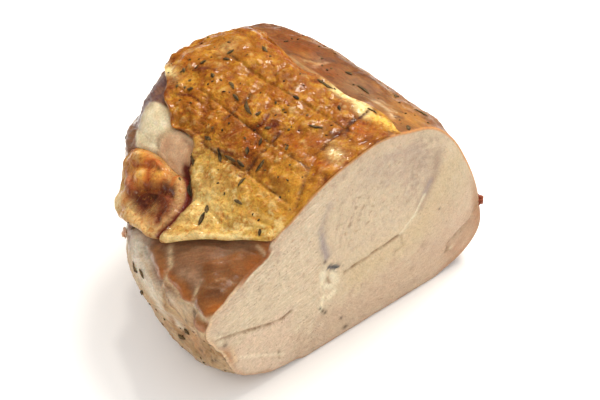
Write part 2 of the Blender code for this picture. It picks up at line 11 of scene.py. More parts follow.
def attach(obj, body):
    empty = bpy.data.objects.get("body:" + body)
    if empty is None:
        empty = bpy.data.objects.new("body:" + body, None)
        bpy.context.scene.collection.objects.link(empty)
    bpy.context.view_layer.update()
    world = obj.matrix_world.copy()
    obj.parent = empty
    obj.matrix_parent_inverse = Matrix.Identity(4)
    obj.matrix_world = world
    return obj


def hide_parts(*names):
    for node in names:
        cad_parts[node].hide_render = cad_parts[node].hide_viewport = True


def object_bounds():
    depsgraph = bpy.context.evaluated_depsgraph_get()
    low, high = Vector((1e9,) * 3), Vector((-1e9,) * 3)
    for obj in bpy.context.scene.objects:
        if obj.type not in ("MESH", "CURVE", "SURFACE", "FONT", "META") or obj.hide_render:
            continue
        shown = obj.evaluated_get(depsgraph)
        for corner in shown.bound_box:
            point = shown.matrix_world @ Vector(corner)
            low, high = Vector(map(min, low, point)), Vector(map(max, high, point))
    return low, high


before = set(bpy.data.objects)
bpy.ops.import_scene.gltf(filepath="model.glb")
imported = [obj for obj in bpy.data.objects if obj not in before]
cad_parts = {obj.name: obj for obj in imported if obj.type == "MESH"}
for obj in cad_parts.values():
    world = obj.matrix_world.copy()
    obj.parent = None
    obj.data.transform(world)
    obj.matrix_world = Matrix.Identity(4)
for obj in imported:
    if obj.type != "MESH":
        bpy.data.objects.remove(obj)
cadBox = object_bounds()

node = "roast_pork_neck"
metre = 0.001  # one mm in the row frame's metres
rowOrigin = (-0.159, 52.78, 0.0)  # the row frame's origin, measured from the foot of the cut's middle

for old in [thing for thing in bpy.data.objects if thing.type in {"LIGHT", "CAMERA"}]:
    bpy.data.objects.remove(old)


# The log's form
logForm = {
    "length": 101.6, "axisHeight": 40.0, "axisRise": 9.6, "axisDrift": 4.9,
    "topOverreach": 21.7, "rightOverreach": 6.4, "halfWidth": 68.0, "halfHeight": 45.0,
    "bluntness": 4.76, "roundness": 1.93,
    "cutOutline": (
        (68.3, 29.4), (63.4, 45.2), (58.1, 56.4), (50.3, 69.4), (40.5, 78.8), (27.5, 83.6), (17, 86.4),
        (-2, 84.7), (-26.9, 74.4), (-43.5, 63.2), (-60.5, 56.1), (-68.5, 42), (-61.4, 27.2),
        (-58.2, 13), (-46.5, 5.4), (-28.1, 1.6), (11.6, 0.3), (49.3, 1.2), (68.8, 11),
    ),
    "rimPushes": (  # bearing, and how far the knife left the cut's rim standing out there
        (134, 0.0), (139, 1.2), (145, 0.8), (149, -0.3), (154, -1.9), (158, -3.2), (162, -3.6), (166, -4.0),
        (170, -3.0), (172, -1.0), (174, 1.0), (178, 1.8), (184, 2.2), (190, 2.2), (196, 1.0), (200, -0.3),
        (206, -1.0), (212, -1.2), (222, 0.0),
    ),
    "rimRunOut": 12.0,
    "swellings": (  # centre, reach, push
        ((-58, 30, 14), 30.0, (-2.7, 0.0, -1.0)), ((48, 45, 72), 38.0, (1.0, 0.0, 1.4)),
        ((-56, 68, 60), 24.0, (5.7, 0.0, 0.0)), ((-50, 78, 50), 18.0, (2.3, -0.9, 0.0)),
        ((-27, 90, 70), 20.0, (-3.3, 1.2, 2.5)), ((-66, 42, 38), 22.0, (-4.5, 0.0, -0.9)),
        ((-64, 40, 24), 15.0, (-2.0, 0.0, -0.5)), ((62, 14, 60), 24.0, (1.1, 0.0, 0.8)),
        ((12, 102, 84), 20.0, (0.0, -1.0, -1.5)),
    ),
    "swellingRunIn": 12.0, "sagFlat": 7.0, "sagBlend": 20.0, "sagRunIn": 22.0,
}


def smooth(value, low, high):
    share = np.clip((value - low) / (high - low), 0.0, 1.0)
    return share * share * (3.0 - 2.0 * share)


def catmull(before, start, end, after, share):
    return 0.5 * (
        2.0 * start + (end - before) * share
        + (2.0 * before - 5.0 * start + 4.0 * end - after) * share**2
        + (3.0 * start - before - 3.0 * end + after) * share**3
    )


def sectionRadius(angle):
    # distance from the axis to the cut's outline
    corners = np.array(logForm["cutOutline"])
    up = corners[:, 1] - logForm["axisHeight"]
    bearings, radii = np.arctan2(up, corners[:, 0]), np.hypot(corners[:, 0], up)
    order = np.argsort(bearings)
    bearings, radii = bearings[order], radii[order]
    count = len(bearings)
    angle = (angle - bearings[0]) % math.tau + bearings[0]
    index = np.searchsorted(bearings, angle, side="right") - 1
    start = bearings[index]
    end = bearings[(index + 1) % count] + np.where(index + 1 == count, math.tau, 0.0)
    near = [radii[(index + step) % count] for step in (-1, 0, 1, 2)]
    return catmull(*near, (angle - start) / (end - start))


def onLog(station, bearing):
    form = logForm
    station, angle = np.asarray(station, float), np.radians(bearing)
    run = np.maximum(0.0, station)
    fullness = np.maximum(0.0, 1.0 - run ** form["bluntness"]) ** (1.0 / form["roundness"])
    rimAt, rimPush = np.array(form["rimPushes"]).T
    push = np.interp(np.degrees(angle) % 360.0, rimAt, rimPush)
    push = push * (1.0 - smooth(station * form["length"], 0.0, form["rimRunOut"]))
    radius = (sectionRadius(angle) + push) * fullness
    across, up = radius * np.cos(angle), radius * np.sin(angle)
    reach = form["length"] + form["rightOverreach"] * across / form["halfWidth"]
    reach = reach + form["topOverreach"] * up / form["halfHeight"]
    right = form["axisDrift"] * run**2 + across
    height = form["axisHeight"] + form["axisRise"] * run**2 + up
    point = np.stack([right, station * reach, height], -1)
    moved = point.copy()
    for centre, size, push in form["swellings"]:
        weight = np.exp(-(np.linalg.norm(point - np.array(centre), axis=-1) / size) ** 2)
        weight = weight * np.clip(point[..., 1] / form["swellingRunIn"], 0.0, 1.0)
        moved += np.array(push) * weight[..., None]
    flat = form["sagFlat"] * smooth(moved[..., 1], 0.0, form["sagRunIn"])
    settled = np.maximum(0.0, (moved[..., 2] - flat) * form["sagBlend"] / (form["sagBlend"] - flat))
    moved[..., 2] = np.where(moved[..., 2] < form["sagBlend"], settled, moved[..., 2])
    return moved


def facing(station, bearing):
    # the log's outward direction
    along = onLog(station + 0.01, bearing) - onLog(station - 0.01, bearing)
    across = onLog(station, bearing + 1.5) - onLog(station, bearing - 1.5)
    outward = np.cross(along, across)
    return outward / np.maximum(1e-9, np.linalg.norm(outward, axis=-1, keepdims=True))


def placesOnLog(places):
    places = np.array(places, float)
    return onLog(places[:, 0], places[:, 1])


def chart(station, bearing):
    # the log's skin laid flat, in steps of about a millimetre
    return np.stack([np.asarray(station) * 100.0, np.asarray(bearing) * 1.0], -1)


def lineDistance(points, line):
    line = np.array(line, float)
    best = np.full(len(points), 1e9)
    for start, end in zip(line[:-1], line[1:]):
        run = end - start
        share = np.clip((points - start) @ run / max(1e-9, run @ run), 0.0, 1.0)
        best = np.minimum(best, np.linalg.norm(points - start - share[:, None] * run, axis=1))
    return best


def insideDepth(points, corners):
    # depth inside a closed outline, negative outside
    corners = np.array(corners, float)
    inside = np.zeros(len(points), bool)
    for (ax, ay), (bx, by) in zip(corners, np.roll(corners, -1, 0)):
        crosses = (ay > points[:, 1]) != (by > points[:, 1])
        if by != ay:
            inside ^= crosses & (points[:, 0] < (bx - ax) * (points[:, 1] - ay) / (by - ay) + ax)
    depth = lineDistance(points, np.vstack([corners, corners[:1]]))
    return np.where(inside, depth, -depth)


def uneven(points, size, seed=0.0):
    # smooth irregular relief between about -1 and 1
    return np.array([noise.noise(Vector(p)) for p in (points / size + seed).tolist()])


def creased(points, size, seed=0.0):
    # sharp little ridges and valleys, 0 to 1
    return 1.0 - np.abs(uneven(points, size, seed)) * 2.0


def cells(points, size, seed=0.0):
    # distance to the nearest cell's middle, and to the border with the next cell
    nearest = np.array([noise.voronoi(Vector(p))[0][:2] for p in (points / size + seed).tolist()])
    return nearest[:, 0], nearest[:, 1] - nearest[:, 0]


def near(points, line, reach):
    # 1 on a line or at a single place, fading out over the reach
    line = np.array(line, float)
    away = lineDistance(points, line) if line.ndim == 2 else np.linalg.norm(points - line, axis=1)
    return np.exp(-((away / reach) ** 2))


def charted(places):
    # a place or a line of places on the flat skin
    return np.array(places, float) * np.array((100.0, 1.0))


def coveredBy(flat, outlines):
    # depth inside the deepest of some outlines
    return np.max([insideDepth(flat, charted(outline)) for outline in outlines], axis=0)


def groove(distance, width, height):
    return height * np.exp(-((2.0 * distance / width) ** 2))


# colours are given as they look in the studio's light; this much of them is the surface's own
lightShare = 0.78


def linear(colour):
    # a colour of 0 to 255 as the renderer's own values
    share = np.array(colour, float) / 255.0
    return np.where(share <= 0.04045, share / 12.92, ((share + 0.055) / 1.055) ** 2.4)


class Paint:
    # the colours of a piece's vertices, laid on coat by coat, each named in the piece's palette
    def __init__(self, count, base, palette=None):
        self.colours = np.tile(linear(base) * lightShare, (count, 1))
        self.palette = palette
        self.allowed = 1.0  # 1 where the coats may lie, 0 elsewhere

    def dab(self, weight, name):
        weight = np.clip(self.allowed * weight, 0.0, 1.0)[:, None]
        self.colours = self.colours * (1.0 - weight) + linear(self.palette[name]) * lightShare * weight

    def draw(self, flat, strokes, broken=1.0):
        # strokes: a line or a single place, its reach in mm, its colour and its strength
        for line, reach, name, strength in strokes:
            self.dab(near(flat, line, reach) * strength * broken, name)


def onChart(strokes):
    return [(charted(line), *rest) for line, *rest in strokes]


def patchWeight(station, bearing, patch):
    at, turn, along, across, _, strength = patch
    return strength * np.exp(-(((station - at) * 100.0 / along) ** 2) - ((bearing - turn) / across) ** 2)


def setColours(mesh, paint):
    layer = mesh.color_attributes.new("paint", "FLOAT_COLOR", "POINT")
    flat = np.hstack([paint.colours, np.ones((len(paint.colours), 1))])
    layer.data.foreach_set("color", flat.astype(np.float32).ravel())


def setVectors(mesh, name, *parts):
    # three numbers for every vertex, each given as a row of values or as one value for them all
    layer = mesh.attributes.new(name, "FLOAT_VECTOR", "POINT")
    vectors = np.stack([np.broadcast_to(part, len(mesh.vertices)) for part in parts], -1)
    layer.data.foreach_set("vector", vectors.astype(np.float32).ravel())


class Wire:
    # a node's output socket that can be used in ordinary sums
    def __init__(self, finish, socket):
        self.finish, self.socket = finish, socket

    def sum(self, operation, first, second):
        return self.finish.add("Math", {"operation": operation}, {0: first, 1: second})

    def __add__(self, other):
        return self.sum("ADD", self, other)

    def __radd__(self, other):
        return self.sum("ADD", other, self)

    def __sub__(self, other):
        return self.sum("SUBTRACT", self, other)

    def __rsub__(self, other):
        return self.sum("SUBTRACT", other, self)

    def __mul__(self, other):
        return self.sum("MULTIPLY", self, other)

    def __rmul__(self, other):
        return self.sum("MULTIPLY", other, self)


class Finish:
    # one material: its Principled shader, and the one method that adds any other node
    def __init__(self, name, constants):
        self.material = bpy.data.materials.new(name)
        self.material.use_nodes = True
        self.tree = self.material.node_tree
        self.shader = self.tree.nodes["Principled BSDF"]
        for socket, value in constants.items():
            self.shader.inputs[socket].default_value = value
        self.place = self.add("TexCoord", {}, {}, "Object")

    def add(self, kind, settings, sockets, output=0):
        made = self.tree.nodes.new("ShaderNode" + kind)
        for setting, value in settings.items():
            setattr(made, setting, value)
        for socket, value in sockets.items():
            if isinstance(value, Wire):
                self.tree.links.new(value.socket, made.inputs[socket])
            else:
                made.inputs[socket].default_value = value
        return Wire(self, made.outputs[output])

    def attribute(self, name, output="Color"):
        return self.add("Attribute", {"attribute_name": name}, {}, output)

    def parts(self, name):
        # the three values packed in a vector attribute
        vector = self.attribute(name, "Vector")
        return [self.add("SeparateXYZ", {}, {0: vector}, axis) for axis in range(3)]

    def grain(self, size, detail=3.0, distortion=0.0):
        # noise from 0 to 1 with lumps of the stated size in mm
        return self.add("TexNoise", {}, {
            "Vector": self.place, "Scale": 1.0 / (size * metre), "Detail": detail,
            "Roughness": 0.55, "Distortion": distortion,
        })

    def step(self, value, low, high, start=0.0, end=1.0):
        return self.add("MapRange", {"interpolation_type": "SMOOTHSTEP"}, {
            "Value": value, "From Min": low, "From Max": high, "To Min": start, "To Max": end,
        })

    def mix(self, share, first, second, blend="MIX"):
        # colours: the first where the share is 0, the second where it is 1
        first, second = [v if isinstance(v, Wire) else (*linear(v), 1.0) for v in (first, second)]
        return self.add("Mix", {"data_type": "RGBA", "blend_type": blend}, {0: share, 6: first, 7: second}, 2)

    def bright(self, colour, factor):
        # a colour made lighter or darker by a number
        return self.add("VectorMath", {"operation": "SCALE"}, {0: colour, "Scale": factor})

    def bump(self, height, depth, strength=1.0):
        # relief of the stated depth in mm
        return self.add("Bump", {}, {"Height": height, "Distance": depth * metre, "Strength": strength})

    def link(self, socket, wire):
        self.tree.links.new(wire.socket, self.shader.inputs[socket])


def placeInRow(points):
    return (points - np.array(rowOrigin)) * metre


def vectorsOf(values, key):
    flat = np.empty(len(values) * 3, np.float32)
    values.foreach_get(key, flat)
    return flat.reshape(-1, 3).astype(float)


def meshPoints(mesh):
    return vectorsOf(mesh.vertices, "co")


def meshFrom(bm, name):
    mesh = bpy.data.meshes.new(name)
    bm.to_mesh(mesh)
    bm.free()
    return mesh


def crowded(bearing, sides):
    # turns evenly spread bearings so that the shown flank gets more of the vertices
    middle, amount = sides
    degreesPerRadian = 57.3
    return (bearing + amount * np.sin(np.radians(bearing - middle)) * degreesPerRadian) % 360.0


def sphereGrid(name, segments, rings):
    # a sphere's mesh, with each vertex's ring, 0 to the number of rings, and angle in degrees
    bm = bmesh.new()
    bmesh.ops.create_uvsphere(bm, u_segments=segments, v_segments=rings, radius=1.0)
    mesh = meshFrom(bm, name)
    x, y, z = meshPoints(mesh).T
    ring = np.round(np.arccos(np.clip(z, -1.0, 1.0)) / math.pi * rings)
    angle = np.round(np.degrees(np.arctan2(y, x)) * segments / 360.0) * 360.0 / segments
    return mesh, ring, angle


def setPoints(mesh, points):
    # into the row frame, and never past the part's own box
    low, high = np.array(cadBox[0]), np.array(cadBox[1])
    mesh.vertices.foreach_set("co", np.clip(placeInRow(points), low, high).astype(np.float32).ravel())
    mesh.update()


def finishPiece(mesh, finish):
    mesh.materials.append(finish.material)
    for face in mesh.polygons:
        face.use_smooth = True
    piece = bpy.data.objects.new(mesh.name, mesh)
    bpy.context.scene.collection.objects.link(piece)
    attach(piece, "root")
    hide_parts(node)
    print("made", mesh.name, len(mesh.polygons), "faces")
    return piece


# The meat
meat = {
    "segments": 390, "rings": 254, "cutRings": 100, "rimRound": 0.35, "crowded": (340.0, 0.4),
    "lump": (17.0, 1.3), "wrinkle": (6.0, 0.7), "fibre": 0.34, "knots": 0.55,
    "notch": (1.7, 0.45),  # length and depth of the notches that the knife left in the flank's rim
    "underSheet": 0.5,  # how far a sheet of fat presses the meat down
    "cutDome": 0.7,
    "cutSeams": (  # places on the cut as (x, z), width, depth
        (((-4, 32.4), (4, 33), (8, 33.1), (11.6, 34.1), (17, 34.1), (20.5, 34.6), (25, 35)), 1.2, 0.45),
        (((25, 35), (26.8, 36.1), (29.9, 38.4), (32.4, 40.5), (34.4, 43.5), (37, 48)), 1.4, 0.35),
        (((25.3, 34.6), (26.0, 29.8), (27.2, 27.6), (23, 27.4)), 1.2, 0.35),
        (((-66, 36), (-60, 34.5), (-54, 32.7), (-47.7, 30.8), (-41, 28.6), (-35.2, 27.5), (-31, 28.7)),
         1.1, 0.55),
        (((-12, 70), (-14.7, 64.5), (-16, 59.5), (-15, 52.6), (-13, 45.4)), 3.0, 0.2),
        (((51.5, 11), (52.6, 15), (55.8, 16.4), (60.7, 18.9), (64, 20.2), (67, 27)), 1.5, 0.8),
    ),
    "eyeMuscle": (
        (-14, 46), (-16, 60), (-11, 74), (8, 84), (34, 80), (43, 64), (42, 54), (37, 48), (25, 35), (4, 33),
        (-4, 33),
    ),
    "pocket": ((-11.5, 33.5), 4.5, 0.8), "hole": ((-9.4, 37.6), 2.0, 1.2),  # centre, reach, depth
    "furrows": (
        ((0.125, 167.2), (0.121, 171), (0.113, 174.3), (0.097, 174.9), (0.032, 174.9), (0, 173.3)),
        ((0.263, 168), (0.263, 171.7), (0.204, 173), (0.163, 175), (0.114, 174.4)),
        ((0.096, 175.5), (0.094, 178), (0.096, 180.2), (0.051, 181.8), (0, 178.2)),
        ((0.094, 178.7), (0.119, 185.9), (0.122, 193.3), (0.084, 198.2), (0.0, 199)),
        ((0.43, 170.8), (0.36, 171.2), (0.29, 172.9), (0.255, 175.4),
         (0.227, 179.7), (0.194, 180.7), (0.143, 181.7)),
    ),
    "furrowWidth": 2.0, "furrowDepth": 0.8,
    "mounds": (((0.71, 144), 12.0, 1.3), ((0.55, 144), 8.0, 1.5), ((0.80, 128), 9.0, 0.6)),
}

meatColours = {
    "skin": (130, 78, 34), "skinDark": (98, 56, 27), "skinPale": (150, 104, 64), "redBrown": (132, 68, 20),
    "mauve": (144, 108, 74), "orange": (174, 116, 48), "cream": (200, 162, 106), "flank": (142, 90, 48),
    "flankDark": (112, 66, 34), "flankOrange": (168, 96, 38), "film": (134, 92, 62),
    "filmPale": (166, 126, 94), "tawny": (184, 132, 88), "belly": (206, 182, 150),
    "bellyGrey": (216, 200, 176), "bellyPink": (182, 146, 106), "bellyBrown": (152, 110, 66),
    "bellyOrange": (186, 130, 78), "bellyTan": (180, 144, 98), "membrane": (212, 180, 138),
    "thread": (196, 154, 116), "maroon": (112, 78, 72), "whiteFat": (232, 214, 174),
    "pinkPatch": (216, 174, 134), "pinkDeep": (196, 148, 110), "pinkPale": (230, 198, 156),
    "fatShade": (214, 190, 150), "fatWhite": (242, 228, 196), "fatGold": (222, 180, 110),
    "creaseRed": (92, 32, 16), "cut": (218, 195, 163), "cutPale": (226, 205, 175),
    "cutPink": (206, 176, 148), "cutRosy": (226, 198, 170), "cutShade": (204, 182, 148),
    "cutWarm": (216, 190, 150), "cutGrey": (190, 165, 144), "smear": (166, 150, 146),
    "smearBrown": (168, 142, 120), "rim": (206, 138, 70), "rimBrown": (172, 120, 78),
    "rimPale": (232, 200, 160), "seam": (148, 116, 82), "seamPale": (242, 226, 192),
    "holeShade": (84, 82, 84), "speck": (84, 60, 42),
}

tear = {  # outlines of the torn flank's parts; the dark grey-brown band along the far silhouette is painted shade
    "maroon": (
        (0.90, 118), (0.862, 129), (0.82, 120), (0.76, 118), (0.727, 117.6), (0.70, 122), (0.690, 128.2),
        (0.718, 132), (0.755, 136), (0.775, 145), (0.802, 155), (0.88, 154), (0.93, 150),
    ),
    "whiteFat": (
        (0.769, 136.4), (0.72, 132.2), (0.666, 130.8), (0.63, 133.2), (0.609, 138.5), (0.636, 143),
        (0.658, 147.3), (0.647, 154.4), (0.675, 157.5), (0.741, 160.1), (0.781, 155), (0.778, 146.7),
    ),
    "pinkPatch": (
        (0.640, 147), (0.625, 142), (0.606, 138.8), (0.568, 135), (0.522, 134), (0.495, 134), (0.479, 137),
        (0.469, 142), (0.471, 148), (0.480, 151), (0.494, 153), (0.540, 153), (0.588, 155), (0.640, 155),
    ),
}

flankMuscles = (  # outlines of the browned muscles between the membranes
    (
        (-0.02, 150.5), (0.03, 150.7), (0.09, 155.3), (0.119, 159.3), (0.147, 162.9), (0.129, 165.2),
        (0.118, 168.5), (0.112, 172), (0.097, 174.6), (0.032, 174.9), (0, 173.3), (-0.02, 173),
    ),
    (
        (0.26, 171.2), (0.206, 168.1), (0.163, 168.3), (0.125, 171.9), (0.116, 174.2), (0.163, 174.6),
        (0.204, 172.9),
    ),
    (
        (0.412, 169.6), (0.366, 166.8), (0.319, 166.7), (0.27, 169.2), (0.266, 171.7), (0.29, 172.5),
        (0.358, 170.9),
    ),
    (
        (0.094, 177.5), (0.076, 175.4), (0, 174.8), (-0.02, 178.5), (0.006, 178.8), (0.061, 180),
        (0.091, 180),
    ),
)

membranes = (  # pale and dark lines on the skin, one of them a painted highlight along the top's silhouette: places, reach in mm, colour, strength
    (((0.314, 165), (0.286, 166.6), (0.263, 168)), 0.9, "membrane", 0.8),
    (((0.263, 168), (0.266, 170.5), (0.262, 173), (0.255, 175.4)), 0.6, "membrane", 0.5),
    (((0.125, 167.2), (0.121, 171), (0.113, 174.3), (0.097, 174.9), (0.032, 174.9), (0.001, 173.3)), 0.6,
     "membrane", 0.85),
    (((0.262, 171.7), (0.204, 173), (0.163, 175), (0.114, 174.4)), 0.6, "membrane", 0.85),
    (((0.096, 180.2), (0.051, 181.8), (0, 178.2)), 0.7, "membrane", 0.85),
    (((0.206, 168.1), (0.171, 167.1), (0.125, 167.2)), 1.6, "filmPale", 0.9),
    (((0.255, 175.4), (0.227, 179.7), (0.194, 180.7), (0.143, 181.7), (0.14, 179.4)), 0.6, "membrane", 0.7),
    (((0.076, 165.3), (0.06, 163.7), (0.018, 163.9)), 0.35, "thread", 0.5),
    (((0.09, 167.4), (0.05, 166.4), (0.03, 166.8)), 0.35, "thread", 0.4),
    (((0.047, 150.3), (0.012, 151.4)), 0.9, "membrane", 0.8),
    (((0.503, 173.2), (0.378, 174.8), (0.282, 178.7), (0.25, 184), (0.26, 192)), 2.4, "bellyGrey", 0.85),
    (((0.43, 172.4), (0.319, 173.8), (0.28, 177)), 0.7, "bellyPink", 0.6),
    (((0.094, 178.7), (0.119, 185.9), (0.122, 193.3), (0.084, 198.2)), 0.8, "bellyBrown", 0.9),
    # painted shade: a dark line in the crevice between the flank's muscles and the belly
    (((0.105, 175.3), (0.089, 176.8), (0.072, 179.0), (0.065, 183.5), (0.05, 188)), 0.7, "speck", 0.6),
    (((0.25, 174.6), (0.222, 176.9), (0.197, 179.2), (0.144, 181.4), (0.12, 184)), 0.7, "bellyBrown", 1.0),
    (((0.24, 175.2), (0.21, 178.2)), 0.4, "speck", 0.5),
    (((0.18, 183), (0.16, 187), (0.17, 192)), 0.8, "bellyOrange", 0.8),
    # a painted highlight: a pale stripe beside the belly's folds
    (((0.308, 177.5), (0.278, 181), (0.32, 190)), 2.0, "bellyGrey", 0.7),
    # painted shade: brown lines along the belly's folds, the outer and the inner one
    (((0.25, 176), (0.238, 180), (0.245, 184), (0.305, 195), (0.27, 200), (0.171, 202)),
     0.9, "bellyBrown", 0.8),
    (((0.14, 182), (0.145, 188), (0.149, 193), (0.128, 198.6)), 0.8, "bellyBrown", 0.8),
    (((0.12, 183), (0.13, 190)), 0.8, "rimPale", 0.6),
    (((0.09, 189), (0.069, 191.4), (0.05, 194)), 0.7, "rimPale", 0.8),
    (((0.05, 183), (0.04, 189)), 0.7, "bellyOrange", 0.9),
    (((0.455, 61.5), (0.415, 55.7)), 0.5, "cream", 0.7),
    (((0.415, 61), (0.44, 54.0)), 0.4, "cream", 0.6),
    (((0.64, 61), (0.53, 66.5), (0.41, 66.5), (0.36, 65), (0.30, 64)), 1.2, "cream", 0.45),
    (((0.50, 63), (0.44, 58), (0.41, 50)), 0.8, "skinDark", 0.7),
    (((0.62, 56), (0.56, 52), (0.50, 44)), 0.9, "skinDark", 0.6),
    (((0.36, 62), (0.30, 57), (0.24, 52), (0.17, 49)), 0.8, "skinDark", 0.5),
    (((0.22, 57), (0.16, 54), (0.09, 50)), 0.7, "skinDark", 0.5),
    (((0.006, 179), (0.012, 187), (0.010, 195), (0.004, 202)), 0.7, "bellyBrown", 0.9),
    (((0.014, 186), (0.008, 191)), 0.5, "speck", 0.6),
    (((0.47, 52.6), (0.444, 53.2), (0.413, 54.2)), 0.8, "skinDark", 0.9),
    (((0.409, 62.2), (0.416, 57.6), (0.418, 53.7)), 0.6, "pinkDeep", 0.7),
    (((0.17, 56.1), (0.131, 54.6), (0.085, 56.6)), 0.9, "membrane", 0.8),
    (((0.18, 53.5), (0.14, 52), (0.10, 53)), 0.5, "membrane", 0.5),
    (((0.305, 46.5), (0.28, 45)), 2.0, "skinDark", 0.8),
    # a painted highlight: a thin cream line along the silhouette of the top, where the edge catches the light
    (((0.58, 48), (0.486, 45), (0.413, 42.5), (0.351, 39), (0.25, 41.6), (0.184, 44.1)), 0.8, "cream", 0.4),
    (((0.348, 60.7), (0.338, 60.5)), 1.1, "skinDark", 0.9),
    (((0.088, 54.9), (0.074, 53.2)), 0.8, "skinDark", 0.9),
    (((0.098, 47.2), (0.09, 47.0)), 0.6, "creaseRed", 0.8),
    (((0.026, 55.7), (0.02, 55.2)), 0.6, "speck", 0.8),
)

# the deep crease where the cap, the tongue and the flank meet; the dark red laid along it is browning and
# painted shade
bigCrease = (
    (0.474, 147.4), (0.443, 149), (0.416, 151), (0.381, 154), (0.363, 157), (0.36, 160), (0.371, 163),
)

tearStrokes = (  # as for the membranes, laid over the torn parts
    # painted shade: a dark grey-brown stroke over the band along the far silhouette
    (((0.77, 152), (0.775, 142), (0.75, 136)), 2.0, "maroon", 0.5),
    (((0.66, 131), (0.625, 134.5), (0.61, 139)), 1.6, "fatGold", 0.5),
    (((0.49, 138), (0.478, 144), (0.477, 149)), 2.0, "tawny", 0.8),
    # browning and painted shade: dark red along the deep crease
    (bigCrease, 2.6, "creaseRed", 1.3),
    (((0.60, 138.5), (0.56, 135.6), (0.51, 134.6)), 1.6, "pinkPale", 0.8),
    (((0.615, 139), (0.645, 147), (0.64, 153)), 1.2, "membrane", 0.8),
)

skinPatches = (  # station, bearing, reach along and across in mm, colour, strength
    (0.52, 56, 12, 7, "redBrown", 0.9), (0.62, 50, 12, 6, "redBrown", 0.6),
    (0.75, 40, 12, 14, "skinDark", 0.5), (0.26, 56, 7, 4, "mauve", 0.9), (0.20, 56, 5, 3, "mauve", 0.8),
    (0.02, 148.5, 4, 3, "flankOrange", 1.0), (0.36, 58, 6, 4, "redBrown", 0.8),
    (0.05, 50, 6, 9, "orange", 0.9), (0.12, 45, 5, 8, "orange", 0.6), (0.40, 46, 14, 6, "skinDark", 0.4),
    (0.44, 61, 3, 2, "skinPale", 0.3), (0.20, 60, 3, 2, "skinDark", 0.6), (0.11, 56, 3, 2, "skinDark", 0.6),
    (0.36, 62.3, 5, 3, "redBrown", 0.9), (0.30, 58, 3, 2, "skinPale", 0.6),
    (0.55, 54, 8, 4, "redBrown", 0.6), (0.47, 58, 4, 2, "orange", 0.5), (0.09, 55, 5, 4, "orange", 0.7),
    (0.47, 171.5, 6, 3, "bellyGrey", 0.9), (0.40, 173, 7, 3, "bellyGrey", 0.7),
    (0.012, 152.5, 3, 2.5, "flankOrange", 1.0), (0.008, 157.5, 3, 3, "flankOrange", 0.9),
    (0.006, 156.5, 2, 3, "redBrown", 0.5), (0.015, 171.5, 4, 2.5, "flankOrange", 0.9),
    (0.226, 170.8, 4, 1.5, "flankOrange", 0.9), (0.171, 172, 4, 1.6, "flankOrange", 0.9),
    (0.136, 173.1, 2, 1.2, "flankOrange", 0.8), (0.29, 171, 4, 1.4, "flankOrange", 0.7),
    (0.052, 167.7, 4, 2, "flankDark", 0.8), (0.111, 162.3, 4, 2, "flankDark", 0.5),
    (0.03, 161, 4, 2.5, "flankDark", 0.6), (0.05, 177.7, 6, 1.6, "tawny", 0.5),
    (0.045, 178.2, 4, 1.0, "flankOrange", 0.6), (0.195, 196, 5, 5, "bellyOrange", 0.7),
    (0.01, 193, 4, 3, "bellyOrange", 0.8), (0.0, 184.5, 3, 3, "bellyOrange", 0.5),
    (0.05, 190, 6, 3, "bellyOrange", 0.4), (0.30, 190, 6, 5, "bellyOrange", 0.4),
    (0.16, 178, 5, 2.5, "bellyPink", 0.6), (0.38, 175.5, 9, 2.5, "bellyGrey", 0.7),
)

skinSpecks = (  # places of the specks of pepper
    (0.272, 198.3), (0.048, 193.1), (0.09, 200.6), (0.007, 201.6), (0.167, 198.9), (0.131, 180.2),
    (0.02, 197), (0.291, 199.6), (0.257, 195.9), (0.059, 194.4), (0.111, 201.5),
)

cutMarks = {  # a line or a single place as (x, z), reach in mm, colour, strength
    "rimSeam": (
        (((55, 10), (62, 14), (67, 22)), 4.5, "rimBrown", 0.45),
        (((52, 14), (57, 17.6), (64, 21), (67, 28)), 1.8, "cutPink", 0.6),
        ((54, 11.5), 1.0, "seamPale", 0.8),
    ),
    "flecks": (
        (((-15.6, 38.5), (-15.4, 33.5)), 1.5, "seamPale", 1.1),
        (((-9.4, 34.9), (-8.4, 30.5)), 1.7, "seamPale", 1.1),
        (((-9.6, 26.4), (-12.5, 25.2)), 1.4, "seamPale", 1.1),
        (((-15.2, 27), (-16.5, 21)), 1.1, "seamPale", 1.1),
        (((-13.6, 31), (-11.5, 29.6)), 1.2, "seamPale", 1.1),
    ),
    "specks": (
        # painted shade inside a small hole
        (((-12.4, 40.2), (-10.4, 38.6)), 0.6, "holeShade", 0.8),
        ((-14, 43.5), 0.9, "speck", 0.85), ((-16.8, 21.8), 0.8, "speck", 0.85),
        ((-15.6, 20), 0.9, "speck", 0.85),
        ((-14.2, 18.3), 1.0, "speck", 0.85), ((-5.9, 10.3), 0.8, "speck", 0.85),
        ((-3.7, 4.2), 1.2, "speck", 0.85),
        ((45, 37.1), 0.6, "speck", 0.85), ((-37.6, 12), 0.7, "speck", 0.85), ((-57, 20), 0.6, "speck", 0.85),
        (((-37.8, 13.6), (-37.3, 9.1)), 0.5, "seam", 0.6),
        (((-57.9, 22.5), (-50.8, 19), (-42.2, 13.8), (-35.3, 9.9)), 0.8, "seamPale", 0.6),
        (((-62.0, 28), (-60.3, 23)), 2.4, "bellyOrange", 0.8),
    ),
    "leftCorner": (
        ((-62.5, 31.5), 1.2, "speck", 0.8), (((-59.5, 27), (-57.5, 20)), 0.7, "rimPale", 0.8),
    ),
}


def cutRelief(place):
    distances = [lineDistance(place, seam) for seam, _, _ in meat["cutSeams"]]
    relief = meat["cutDome"] * smooth(np.min(distances, axis=0), 0.0, 14.0)
    seams = [groove(away, width, depth) for away, (_, width, depth) in zip(distances, meat["cutSeams"])]
    relief -= np.max(seams, axis=0)
    for centre, reach, depth in (meat["pocket"], meat["hole"]):
        relief -= depth * near(place, centre, reach)
    return relief


